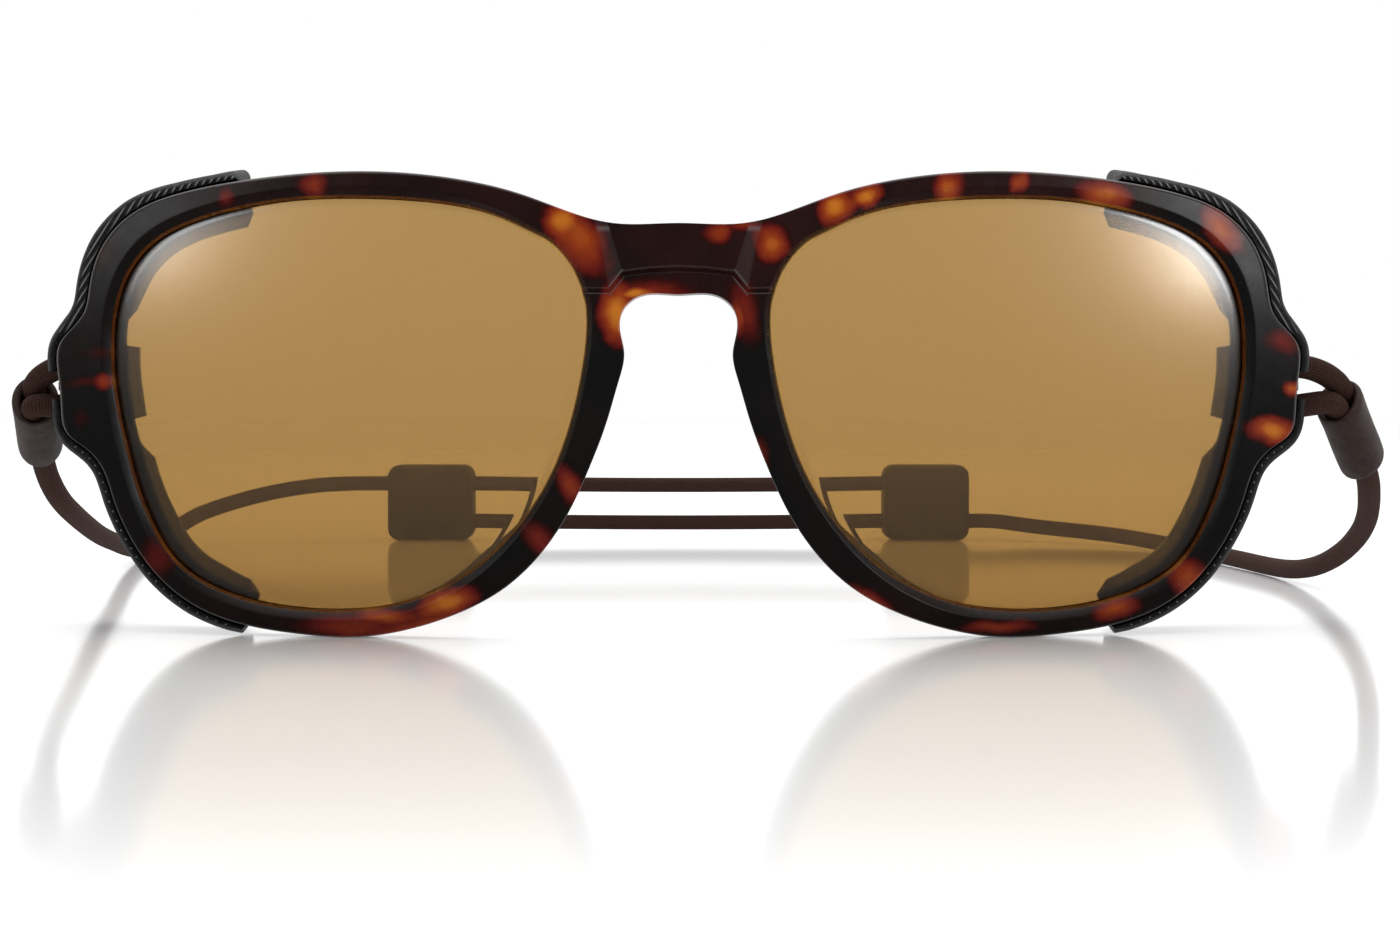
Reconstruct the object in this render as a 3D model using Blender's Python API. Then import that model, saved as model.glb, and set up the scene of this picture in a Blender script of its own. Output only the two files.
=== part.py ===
"""Armless glacier glasses: a moulded front with two lenses, clip-on rubber side shields and a cord strap.

+X is the wearer's left, which is a viewer's right. -Y is the front, and +Z is up. The glasses stand on
z = 0, on the rims, the shields and the cord sliders. Outlines are in millimetres, as (x, height above the
middle of the lenses), for the +X half. The -X half is its mirror image. Distances back, in y, are measured
from the front of the bridge, and at the end everything moves forwards, so that the origin is in the middle.
"""

import math

import bmesh
import bpy
import numpy as np
from mathutils import Matrix, Vector

MM = 0.001
LENS_HEIGHT = 26.4  # the middle of the lenses above the ground
ORIGIN_BACK = 15.82  # from the front of the bridge to the middle between it and the shields' back edges

# How far the front surface curves back, as radii of curvature across and up
WRAP_RADIUS = 220.0
TILT_RADIUS = 150.0

# Matched points round one rim: lens opening x, z, then outer edge x, z. They start at the top of the
# bridge, go round the outer side and the bottom, and end under the arch of the bridge.
RIM = [
    (13.2, 17.0, 0.0, 20.1), (14.4, 18.1, 7.2, 20.1), (16.8, 19.4, 12.6, 21.6), (20.0, 20.9, 17.9, 23.6),
    (25.0, 22.3, 23.8, 25.1), (31.0, 23.05, 30.6, 26.05), (38.0, 23.35, 38.0, 26.35),
    (45.0, 23.1, 45.4, 26.0), (50.5, 22.25, 51.6, 25.3), (55.5, 20.95, 57.6, 24.15),
    (60.0, 18.85, 63.0, 22.05), (62.6, 16.3, 66.4, 18.7), (64.2, 13.2, 68.1, 13.8),
    (64.9, 10.2, 68.75, 10.6), (65.1, 8.0, 70.3, 8.65), (65.1, 6.2, 71.85, 6.8),
    (65.0, 3.5, 71.9, 3.3), (64.6, 0.8, 71.55, -0.2), (64.1, -1.9, 71.0, -3.1),
    (63.5, -4.3, 68.5, -5.05), (62.85, -6.9, 66.5, -7.2), (61.6, -10.8, 65.1, -10.9),
    (60.0, -14.4, 62.9, -15.7), (57.7, -17.8, 60.0, -19.6), (53.9, -20.5, 55.6, -23.05),
    (48.6, -22.35, 49.6, -25.2), (42.6, -23.2, 43.0, -26.15), (36.8, -23.2, 36.6, -26.4),
    (31.5, -22.4, 30.6, -25.45), (26.6, -20.6, 24.5, -23.4), (22.0, -17.7, 19.3, -20.5),
    (18.2, -13.9, 15.2, -16.6), (15.2, -9.6, 12.2, -12.2), (13.0, -4.9, 9.8, -7.1),
    (11.5, 0.2, 7.9, -2.1), (10.6, 4.9, 6.55, 2.5), (10.3, 7.6, 5.95, 5.6),
    (10.25, 9.4, 6.45, 8.3), (10.4, 11.2, 6.0, 10.7), (10.65, 12.2, 4.2, 12.05),
    (10.95, 13.2, 0.0, 12.15),
]
LAST_KEY = len(RIM) - 1

FRONT_THICKNESS = 4.0
EDGE_ROUNDING = 0.45
CHAMFER_WIDTH = 0.9
CHAMFER_DEPTH = 0.75
GROOVE_START = 1.15  # depth from the front surface
GROOVE_END = 3.35
GROOVE_REACH = 1.1
LENS_REACH = 0.8  # how far the lens goes into its groove
LENS_FRONT = 1.45
LENS_BACK = 3.05

PAD_FIRST_KEY, PAD_LAST_KEY = 29.5, 38.3  # where the nose pad starts and ends along the rim
PAD_DEPTH = 5.5
PAD_FLARE = 0.35  # sideways run for each unit of depth

# The lug behind each endpiece, with an upright hole for the cord
LUG_X = (66.6, 72.5)
LUG_Y = (14.0, 20.4)
LUG_HEIGHT = 2.1
LUG_HALF_THICKNESS = 0.55
LUG_HOLE = (69.45, 17.2)
LUG_HOLE_RADIUS = 1.9

# Side shield: rim key, back edge x, z, y, reach outside the rim, reach inside the lens edge.
SHIELD = [
    (7.8, 50.6, 27.9, 16.5, 1.3, 0.5), (8.0, 51.9, 27.9, 17.3, 1.35, 1.9),
    (9.0, 57.9, 27.0, 20.5, 1.5, 1.9), (10.0, 64.3, 24.6, 24.0, 1.9, 1.9),
    (11.0, 68.8, 20.8, 27.0, 2.0, 1.9), (12.0, 71.4, 15.8, 29.5, 2.0, 1.9),
    (12.7, 72.2, 12.8, 30.5, 2.0, 1.5), (13.1, 72.4, 11.4, 30.8, 2.0, 0.6),
    (14.0, 72.5, 8.8, 31.2, 1.8, 0.6), (14.6, 72.4, 7.4, 31.4, 1.6, 0.6),
    (14.64, 72.4, 7.3, 31.4, 1.6, 2.3), (16.0, 72.2, 3.3, 31.5, 1.5, 2.3),
    (17.94, 71.6, -2.9, 31.5, 1.45, 2.2), (17.98, 71.6, -3.0, 31.5, 1.45, 0.65),
    (19.0, 70.8, -5.6, 31.0, 1.6, 0.65), (19.3, 70.5, -6.4, 30.8, 1.6, 1.0),
    (19.8, 70.0, -7.6, 30.3, 1.6, 2.0), (21.0, 68.2, -12.3, 28.2, 1.6, 2.2),
    (22.0, 65.6, -16.7, 26.0, 1.5, 2.2), (23.0, 62.0, -20.4, 23.2, 1.5, 2.2),
    (24.0, 56.8, -23.9, 20.0, 1.35, 2.2), (24.7, 52.3, -25.4, 17.6, 1.2, 1.8),
    (25.0, 50.2, -25.9, 16.5, 1.0, 0.5),
]
SHIELD_GAP = 0.3
SHIELD_END_FACES = [(0, 1, 2), (0, 2, 5, 8), (2, 3, 4, 5), (5, 6, 7, 8)]  # they close each end of the sweep
SHIELD_WEB = (4.3, 6.0)  # depths of the web that lies behind the rim
SHIELD_WALL = 0.9  # wall thickness at the back edge
WINDOW_Z = (-2.3, 6.5)
WINDOW_Y = (8.0, 21.6)
SHIELD_TRAVEL_CLEARANCE = 66.2  # the window starts here, so that the lug passes through it

CORD_RADIUS = 1.4
CORD_ROUNDNESS = 2  # Blender's bevel resolution, which makes eight sides
CORD_REST = 1.45  # the height of the cord's middle where it lies on the ground
BEND_RADIUS = 2.35  # of the cord round the edge of the lug
SLEEVE_LENGTH = 11.2
SLEEVE_OUTER = (3.35, 2.7)  # half axes, across the pair of strands and along them
SLEEVE_INNER = (3.05, 2.4)
CRIMP_LENGTHS = (2.1, 8.3)  # from the sleeve's mouth
SLEEVE_MOUTH = {1: (78.5, 19.0, 26.8), -1: (-76.5, 19.0, 26.9)}
SLEEVE_END = {1: (84.2, 27.0, 18.35), -1: (-78.6, 28.9, 21.1)}
STRAND_OFFSET = 1.45
STRAND_LEAD = 0.9  # how far before the mouth a strand has turned into line with the sleeve

SLIDER_SIZE = (16.5, 8.0, 14.6)
SLIDER_X = 48.0
SLIDER_Y = 191.0
SLIDER_CORNER = 2.3
SLIDER_HOLE_RADIUS = 1.75
HOLE_LOW = 3.65
HOLE_HIGH = 10.95
SLIDER_EDGE = 0.7  # rounding of its front and back edges
STOP_RADIUS = 1.35
STOP_LENGTH = 4.0
STOP_OFFSET = 5.0  # of its middle, outward from the slider's middle
TAIL_START_GAP = 0.35  # between the run's end and the tail's start
TAIL_END_OFFSET = 2.6  # outward from the far slider's middle
ENTRY_OFFSET = 8.0  # where a cord straightens to enter a slider, outward from the slider's middle
RUN_SPACING, TAIL_SPACING = 6.0, 6.5
SLEEVE_SIDES, CRIMP_SIDES, HOLE_SIDES, STOP_SIDES = 20, 12, 16, 12
ROUTE_STEPS = 20  # places worked out between two of a route's points
STRAND_SAG = 0.5

# The cord's route from each sleeve to its slider, resting on the ground half way
ROUTE_RIGHT = [
    (85.7, 31.0, 16.6), (87.0, 35.0, 15.2), (88.5, 40.0, 13.5), (90.2, 47.0, 11.0), (91.4, 55.0, 8.4),
    (91.9, 63.0, 6.0), (91.7, 71.0, 3.9), (91.3, 81.0, 2.3), (91.0, 95.0, 1.5), (90.2, 112.0, CORD_REST),
    (88.9, 130.0, CORD_REST), (87.4, 147.0, CORD_REST), (84.3, 161.0, 1.75), (79.0, 172.5, 2.2),
    (72.6, 180.6, 2.6), (66.3, 186.6, 3.0), (60.6, 190.4, 3.5),
]
ROUTE_LEFT = [
    (-79.4, 34.0, 18.0), (-79.8, 40.0, 15.0), (-80.6, 50.0, 12.2), (-82.3, 64.0, 9.7), (-84.4, 80.0, 7.3),
    (-86.5, 96.0, 5.4), (-88.9, 112.0, 3.7), (-90.7, 127.0, 2.2), (-91.4, 140.0, 1.6), (-91.2, 150.0, 2.6),
    (-90.0, 158.5, 4.4), (-87.7, 164.8, 6.2), (-84.3, 169.6, 7.6), (-78.5, 175.0, 9.3), (-72.0, 180.8, 10.5),
    (-66.0, 186.6, 10.95), (-60.6, 190.4, 10.95),
]


def clear_scene():
    for obj in list(bpy.data.objects):
        bpy.data.objects.remove(obj, do_unlink=True)


def material(name, colour, roughness, metallic=0.0, alpha=1.0):
    made = bpy.data.materials.new(name)
    made.use_nodes = True
    shader = made.node_tree.nodes["Principled BSDF"]
    shader.inputs["Base Color"].default_value = (*colour, 1.0)
    shader.inputs["Roughness"].default_value = roughness
    shader.inputs["Metallic"].default_value = metallic
    shader.inputs["Alpha"].default_value = alpha
    made.diffuse_color = (*colour, alpha)
    return made


def smooth_curve(points, closed=False):
    """A cubic curve with continuous curvature through the points, as a function of the point number."""
    p = np.array(points, float)
    n = len(p)
    chord = np.linalg.norm(np.roll(p, -1, axis=0) - p, axis=1)
    matrix = np.zeros((n, n))
    right = np.zeros_like(p)
    for i in range(n):
        before, after = chord[i - 1], chord[i]
        if not closed and i in (0, n - 1):
            step, other = (chord[0], 1) if i == 0 else (chord[n - 2], n - 2)
            matrix[i, i], matrix[i, other] = 2, 1
            right[i] = 3 * (p[other] - p[i]) / step * (1 if i == 0 else -1)
            continue
        matrix[i, i] = 2 * (before + after)
        matrix[i, i - 1] += after
        matrix[i, (i + 1) % n] += before
        ahead = (p[(i + 1) % n] - p[i]) / after
        behind = (p[i] - p[i - 1]) / before
        right[i] = 3 * (after * behind + before * ahead)
    slope = np.linalg.solve(matrix, right)

    def at(key):
        i = int(math.floor(key))
        if not closed:
            i = min(max(i, 0), n - 2)
        u = key - i
        i, j = i % n, (i + 1) % n
        h = chord[i]
        return (
            (1 + 2 * u) * (1 - u) ** 2 * p[i]
            + u * (1 - u) ** 2 * h * slope[i]
            + u * u * (3 - 2 * u) * p[j]
            + u * u * (u - 1) * h * slope[j]
        )

    return at


def outer_loop():
    right = [(x, z) for _, _, x, z in RIM]
    left = [(-x, z) for x, z in reversed(right[1:-1])]
    return smooth_curve(right + left, closed=True)


LENS_EDGE = smooth_curve([(x, z) for x, z, _, _ in RIM], closed=True)
OUTER_EDGE = outer_loop()


def outward(curve, key):
    """The unit normal that points away from the middle of a clockwise outline."""
    tx, tz = curve(key + 0.01) - curve(key - 0.01)
    return np.array([-tz, tx]) / math.hypot(tx, tz)


def surface(x, z):
    """How far back the front surface lies at a place."""
    return x * x / (2 * WRAP_RADIUS) + z * z / (2 * TILT_RADIUS)


def placed(flat, depth):
    """A point in metres from a place on the front view and a depth behind the front surface."""
    x, z = flat
    return Vector((x * MM, (surface(x, z) + depth) * MM, (z + LENS_HEIGHT) * MM))


def object_from(name, mesh_builder, *materials):
    bm = bmesh.new()
    mesh_builder(bm)
    bmesh.ops.remove_doubles(bm, verts=bm.verts, dist=1e-7)
    bmesh.ops.recalc_face_normals(bm, faces=bm.faces)
    mesh = bpy.data.meshes.new(name)
    bm.to_mesh(mesh)
    bm.free()
    mesh.shade_smooth()
    mesh.set_sharp_from_angle(angle=math.radians(40))
    obj = bpy.data.objects.new(name, mesh)
    bpy.context.collection.objects.link(obj)
    for each in materials:
        obj.data.materials.append(each)
    return obj


def mirror_x(bm):
    """Adds the mirror image of a mesh across x = 0 and joins the two along that plane."""
    copy = bmesh.ops.duplicate(bm, geom=list(bm.verts) + list(bm.edges) + list(bm.faces))["geom"]
    verts = [g for g in copy if isinstance(g, bmesh.types.BMVert)]
    faces = [g for g in copy if isinstance(g, bmesh.types.BMFace)]
    bmesh.ops.transform(bm, matrix=Matrix.Scale(-1, 4, (1, 0, 0)), verts=verts)
    bmesh.ops.reverse_faces(bm, faces=faces)
    bmesh.ops.remove_doubles(bm, verts=bm.verts, dist=1e-6)
    bmesh.ops.delete(bm, geom=[v for v in bm.verts if not v.link_faces], context="VERTS")


def box_cutter(name, low, high):
    def build(bm):
        bmesh.ops.create_cube(bm, size=1.0)
        for v in bm.verts:
            v.co = Vector(
                (low[i] if c < 0 else high[i]) * MM for i, c in enumerate(v.co)
            )

    return helper(object_from(name, build))


def round_cutter(name, centre, axis, radius, length, segments=24):
    def build(bm):
        turn = Vector((0, 0, 1)).rotation_difference(Vector(axis)).to_matrix().to_4x4()
        place = Matrix.Translation(Vector(centre) * MM) @ turn
        bmesh.ops.create_cone(
            bm, cap_ends=True, segments=segments, radius1=radius * MM, radius2=radius * MM,
            depth=length * MM, matrix=place,
        )

    return helper(object_from(name, build))


def helper(obj):
    obj.hide_render = True
    obj.display_type = "WIRE"
    return obj


def boolean(obj, other, operation):
    modifier = obj.modifiers.new(operation.lower() + "_" + other.name, "BOOLEAN")
    modifier.operation = operation
    modifier.object = other
    modifier.solver = "EXACT"


# ---- front frame and lenses

RIM_STEPS = 2  # mesh steps between two of the rim's points
BRIDGE_STEPS = 4


def rim_samples():
    """(lens point, lens normal, outer point, outer normal, pad depth) all the way round one rim."""
    samples = []
    for i in range(LAST_KEY * RIM_STEPS + 1):
        key = i / RIM_STEPS
        lens, outer = LENS_EDGE(key), OUTER_EDGE(key)
        samples.append((lens, outward(LENS_EDGE, key), outer, outward(OUTER_EDGE, key), pad_depth(key)))
    top, bottom = OUTER_EDGE(0), OUTER_EDGE(LAST_KEY)
    for i in range(1, BRIDGE_STEPS):
        share = i / BRIDGE_STEPS
        key = LAST_KEY + share
        middle = bottom + (top - bottom) * share
        samples.append((LENS_EDGE(key), outward(LENS_EDGE, key), middle, np.zeros(2), 0.0))
    return samples


def pad_depth(key):
    share = (key - PAD_FIRST_KEY) / (PAD_LAST_KEY - PAD_FIRST_KEY)
    return PAD_DEPTH * math.sin(math.pi * share) ** 2 if 0 < share < 1 else 0.0


def rim_section(lens, lens_out, outer, outer_out, pad):
    """One slice through the rim, from the lens opening over the front to the outer edge and back."""
    width = np.linalg.norm(outer - lens)
    across = (outer - lens) / width
    r = EDGE_ROUNDING
    corner = 0.29 * r
    flare = PAD_FLARE * pad
    back = FRONT_THICKNESS
    return [
        placed(lens, GROOVE_START),
        placed(lens, CHAMFER_DEPTH),
        placed(lens + across * CHAMFER_WIDTH, 0.0),
        placed(outer - outer_out * r, 0.0),
        placed(outer - outer_out * corner, corner),
        placed(outer, r),
        placed(outer - outer_out * flare, back + pad - r),
        placed(outer - outer_out * (flare + corner), back + pad - corner),
        placed(outer - outer_out * (flare + r), back + pad),
        placed(lens + across * width * 0.35, back),
        placed(lens + across * 0.3, back),
        placed(lens, back - 0.25),
        placed(lens, GROOVE_END),
        placed(lens + lens_out * GROOVE_REACH, GROOVE_END),
        placed(lens + lens_out * GROOVE_REACH, GROOVE_START),
    ]


FRONT_EDGE, BACK_EDGE = 3, 8  # the section's points between which its outer wall lies


def build_front(bm):
    samples = rim_samples()
    rows = [[bm.verts.new(p) for p in rim_section(*sample)] for sample in samples]
    for i, row in enumerate(rows):
        following = rows[(i + 1) % len(rows)]
        on_bridge = i >= LAST_KEY * RIM_STEPS
        for j in range(len(row)):
            if on_bridge and FRONT_EDGE <= j < BACK_EDGE:
                continue
            k = (j + 1) % len(row)
            bm.faces.new((row[j], row[k], following[k], following[j]))
    mirror_x(bm)


def make_front(shell):
    front = object_from("front_frame", build_front, shell)
    for side, word in ((1, "right"), (-1, "left")):
        xs = sorted(side * x for x in LUG_X)
        low = (xs[0], LUG_Y[0], LENS_HEIGHT + LUG_HEIGHT - LUG_HALF_THICKNESS)
        high = (xs[1], LUG_Y[1], LENS_HEIGHT + LUG_HEIGHT + LUG_HALF_THICKNESS)
        boolean(front, box_cutter("lug_" + word, low, high), "UNION")
    for side, word in ((1, "right"), (-1, "left")):
        centre = (side * LUG_HOLE[0], LUG_HOLE[1], LENS_HEIGHT + LUG_HEIGHT)
        hole = round_cutter("lug_hole_" + word, centre, (0, 0, 1), LUG_HOLE_RADIUS, 3.0)
        boolean(front, hole, "DIFFERENCE")
    return front


def make_lens(name, side, glass):
    keys = [i / RIM_STEPS for i in range((LAST_KEY + 1) * RIM_STEPS)]
    middle = np.mean([LENS_EDGE(key) for key in keys], axis=0)

    def build(bm):
        rings = []
        for share, depth in (
            (0.5, LENS_FRONT), (1.0, LENS_FRONT),
            (1.0, LENS_BACK), (0.5, LENS_BACK),
        ):
            ring = []
            for key in keys:
                edge = LENS_EDGE(key) + outward(LENS_EDGE, key) * LENS_REACH
                x, z = middle + (edge - middle) * share
                point = placed((x, z), depth)
                ring.append(bm.verts.new((side * point.x, point.y, point.z)))
            rings.append(ring)
        for inner, outer in zip(rings, rings[1:]):
            for i in range(len(keys)):
                k = (i + 1) % len(keys)
                bm.faces.new((inner[i], inner[k], outer[k], outer[i]))
        bm.faces.new(rings[0])
        bm.faces.new(list(reversed(rings[-1])))
        bmesh.ops.triangulate(bm, faces=[f for f in bm.faces if len(f.verts) > 4])

    return object_from(name, build, glass)


# ---- side shields


def shield_row(key):
    """The shield's own measures at a place along the rim, between its listed ones."""
    keys = [row[0] for row in SHIELD]
    return [np.interp(key, keys, [row[i] for row in SHIELD]) for i in range(1, 6)]


def shield_keys():
    first, last = SHIELD[0][0], SHIELD[-1][0]
    steps = [i / RIM_STEPS for i in range(math.ceil(first * RIM_STEPS), int(last * RIM_STEPS) + 1)]
    return sorted(set(steps) | {row[0] for row in SHIELD})


def shield_section(key):
    """One slice: the lip beside the rim, the wall to its back edge, and the web behind the rim."""
    back_x, back_z, back_y, reach_out, reach_in = shield_row(key)
    outer, out = OUTER_EDGE(key), outward(OUTER_EDGE, key)
    lens = LENS_EDGE(key)
    inward = (lens - outer) / np.linalg.norm(lens - outer)
    back = Vector((back_x * MM, back_y * MM, (back_z + LENS_HEIGHT) * MM))
    inner_back = back - Vector((out[0], 0, out[1])) * SHIELD_WALL * MM
    tip = lens + inward * reach_in
    web_front, web_back = SHIELD_WEB
    return [
        placed(outer + out * SHIELD_GAP, 0.7),
        placed(outer + out * (reach_out - 0.3), 1.0),
        placed(outer + out * reach_out, 1.9),
        back,
        inner_back,
        placed(outer + out * 0.1, web_back),
        placed(tip, web_back - 0.3),
        placed(tip, web_front),
        placed(outer + out * SHIELD_GAP, web_front),
    ]


def make_shield(name, side, rubber):
    def build(bm):
        rows = []
        for key in shield_keys():
            points = shield_section(key)
            rows.append([bm.verts.new((side * p.x, p.y, p.z)) for p in points])
        for row, following in zip(rows, rows[1:]):
            for j in range(len(row)):
                k = (j + 1) % len(row)
                bm.faces.new((row[j], row[k], following[k], following[j]))
        for end in (rows[0], rows[-1]):
            for corners in SHIELD_END_FACES:
                bm.faces.new([end[c] for c in corners])

    shield = object_from(name, build, rubber)
    xs = sorted((side * SHIELD_TRAVEL_CLEARANCE, side * 80.0))
    low = (xs[0], WINDOW_Y[0], LENS_HEIGHT + WINDOW_Z[0])
    high = (xs[1], WINDOW_Y[1], LENS_HEIGHT + WINDOW_Z[1])
    boolean(shield, box_cutter("window_" + name, low, high), "DIFFERENCE")
    return shield


# ---- cord, sleeves and sliders


def tube(name, points, spacing, finish):
    """A round cord on a smooth curve through the points, with its ends closed."""
    route = smooth_curve([tuple(p) for p in points])
    dense = [route(i / ROUTE_STEPS) for i in range(ROUTE_STEPS * (len(points) - 1) + 1)]
    run = np.concatenate([[0], np.cumsum(np.linalg.norm(np.diff(dense, axis=0), axis=1))])
    count = max(2, round(run[-1] / spacing) + 1)
    picked = [[np.interp(d, run, [p[i] for p in dense]) for i in range(3)]
              for d in np.linspace(0, run[-1], count)]
    curve = bpy.data.curves.new(name, "CURVE")
    curve.dimensions = "3D"
    curve.bevel_depth = CORD_RADIUS * MM
    curve.bevel_resolution = CORD_ROUNDNESS
    curve.use_fill_caps = True
    curve.materials.append(finish)
    spline = curve.splines.new("POLY")
    spline.points.add(count - 1)
    for point, place in zip(spline.points, picked):
        point.co = (*(c * MM for c in place), 1.0)
    obj = bpy.data.objects.new(name, curve)
    bpy.context.collection.objects.link(obj)
    return obj


def sleeve_frame(side):
    """The sleeve's mouth, its axis, and the direction from its lower strand to its upper one."""
    mouth = Vector(SLEEVE_MOUTH[side])
    axis = (Vector(SLEEVE_END[side]) - mouth).normalized()
    up = Vector((0, 0, 1))
    rise = (up - axis * up.dot(axis)).normalized()
    return mouth, axis, rise


def make_loop(name, side, finish):
    """The cord's front end: two strands from the sleeve, joined by a bend through the lug's hole."""
    mouth, axis, rise = sleeve_frame(side)
    leg_x, y = LUG_HOLE
    middle = LENS_HEIGHT + LUG_HEIGHT
    bend = []
    for degrees in (90, 120, 150, 165, 195, 210, 240, 270):
        angle = math.radians(degrees)
        x = leg_x + BEND_RADIUS * (1 + math.cos(angle))
        bend.append((side * x, y, middle + BEND_RADIUS * math.sin(angle)))
    strands = []
    for sign in (1, -1):
        end = mouth + rise * STRAND_OFFSET * sign
        strands.append([end + axis * 1.6, end - axis * STRAND_LEAD])
    return tube(name, [*strands[0], *bend, *reversed(strands[1])], 1.2, finish)


def make_sleeve(name, side, finish):
    """An oval shrink sleeve over both strands, which narrows inside to the single cord."""
    mouth, axis, rise = sleeve_frame(side)
    across = axis.cross(rise)
    profile = [  # distance along the axis, half axes along rise and across
        (0.0, 3.2, 2.55), (0.25, *SLEEVE_OUTER), (SLEEVE_LENGTH - 0.9, *SLEEVE_OUTER),
        (SLEEVE_LENGTH - 0.25, 3.05, 2.5), (SLEEVE_LENGTH, 2.6, 2.2), (SLEEVE_LENGTH, 1.85, 1.85),
        (SLEEVE_LENGTH - 2.0, 1.85, 1.85), (SLEEVE_LENGTH - 2.5, *SLEEVE_INNER), (0.0, *SLEEVE_INNER),
    ]

    def build(bm):
        rings = []
        for along, half_rise, half_across in profile:
            ring = []
            for i in range(SLEEVE_SIDES):
                angle = 2 * math.pi * i / SLEEVE_SIDES
                offset = rise * half_rise * math.cos(angle) + across * half_across * math.sin(angle)
                ring.append(bm.verts.new((mouth + axis * along + offset) * MM))
            rings.append(ring)
        for a, b in zip(rings, rings[1:] + rings[:1]):
            for i in range(SLEEVE_SIDES):
                k = (i + 1) % SLEEVE_SIDES
                bm.faces.new((a[i], a[k], b[k], b[i]))

    return object_from(name, build, finish)


def make_crimp(name, side, finish):
    """The metal crimp inside the sleeve, which joins the loop's two ends to the strap."""
    mouth, axis, rise = sleeve_frame(side)
    across = axis.cross(rise)

    def build(bm):
        rings = []
        start, end = CRIMP_LENGTHS
        for along, half_rise, half_across in (
            (start, 2.2, 1.7), (start + 0.3, 2.6, 2.0), (end - 0.3, 2.6, 2.0), (end, 2.2, 1.7),
        ):
            ring = []
            for i in range(CRIMP_SIDES):
                angle = 2 * math.pi * i / CRIMP_SIDES
                offset = rise * half_rise * math.cos(angle) + across * half_across * math.sin(angle)
                ring.append(bm.verts.new((mouth + axis * along + offset) * MM))
            rings.append(ring)
        for a, b in zip(rings, rings[1:]):
            for i in range(CRIMP_SIDES):
                k = (i + 1) % CRIMP_SIDES
                bm.faces.new((a[i], a[k], b[k], b[i]))
        bm.faces.new(rings[0])
        bm.faces.new(list(reversed(rings[-1])))

    return object_from(name, build, finish)


def make_slider(name, side, finish):
    """A rounded block that stands on the ground, with a hole for each cord."""
    width, depth, height = SLIDER_SIZE

    def build(bm):
        bmesh.ops.create_cube(bm, size=1.0)
        for v in bm.verts:
            v.co = Vector((v.co.x * width * MM, v.co.y * depth * MM, (v.co.z + 0.5) * height * MM))
        along_y = [e for e in bm.edges if abs(e.verts[0].co.y - e.verts[1].co.y) > depth * MM / 2]
        bmesh.ops.bevel(bm, geom=along_y, offset=SLIDER_CORNER * MM, segments=4, profile=0.5, affect="EDGES")
        ends = [f for f in bm.faces if abs(f.normal.y) > 0.9]
        rims = {e for f in ends for e in f.edges}
        bmesh.ops.bevel(bm, geom=list(rims), offset=SLIDER_EDGE * MM, segments=2, profile=0.5, affect="EDGES")

    slider = object_from(name, build, finish)
    slider.location = (side * SLIDER_X * MM, SLIDER_Y * MM, 0)
    for word, z in (("low", HOLE_LOW), ("high", HOLE_HIGH)):
        centre = (side * SLIDER_X, SLIDER_Y, z)
        hole = round_cutter(
            f"hole_{word}_{name}", centre, (1, 0, 0), SLIDER_HOLE_RADIUS, width + 4, HOLE_SIDES
        )
        boolean(slider, hole, "DIFFERENCE")
    return slider


def make_stop(name, side, height, finish):
    """The crimped end of a cord inside the slider that holds it."""
    centre = Vector((side * (SLIDER_X + STOP_OFFSET), SLIDER_Y, height)) * MM

    def build(bm):
        turn = Matrix.Rotation(math.radians(90), 4, "Y")
        place = Matrix.Translation(centre) @ turn
        bmesh.ops.create_cone(
            bm, cap_ends=True, segments=STOP_SIDES, radius1=STOP_RADIUS * MM, radius2=STOP_RADIUS * MM,
            depth=STOP_LENGTH * MM, matrix=place,
        )

    return object_from(name, build, finish)


def make_run(name, side, route, height, finish):
    """The long stretch of a cord, from its sleeve through the nearer slider."""
    mouth, axis, _ = sleeve_frame(side)
    inner_face = SLIDER_X - SLIDER_SIZE[0] / 2
    start = [mouth + axis * (CRIMP_LENGTHS[1] + 0.4), mouth + axis * SLEEVE_LENGTH]
    through = [(side * (SLIDER_X + ENTRY_OFFSET), SLIDER_Y, height), (side * SLIDER_X, SLIDER_Y, height)]
    return tube(name, [*start, *route, *through, (side * inner_face, SLIDER_Y, height)], RUN_SPACING, finish)


def make_tail(name, side, height, finish):
    """The strand that goes on to the other slider, which holds its end."""
    near = SLIDER_X - SLIDER_SIZE[0] / 2 - TAIL_START_GAP
    far = SLIDER_X + TAIL_END_OFFSET
    points = [(side * near, SLIDER_Y, height)]
    for share in (0.75, 0.5, 0.25, 0.0, -0.25, -0.5, -0.75):
        points.append((side * near * share, SLIDER_Y, height - STRAND_SAG * (1 - share * share)))
    points += [(-side * near, SLIDER_Y, height), (-side * far, SLIDER_Y, height)]
    return tube(name, points, TAIL_SPACING, finish)


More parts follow.
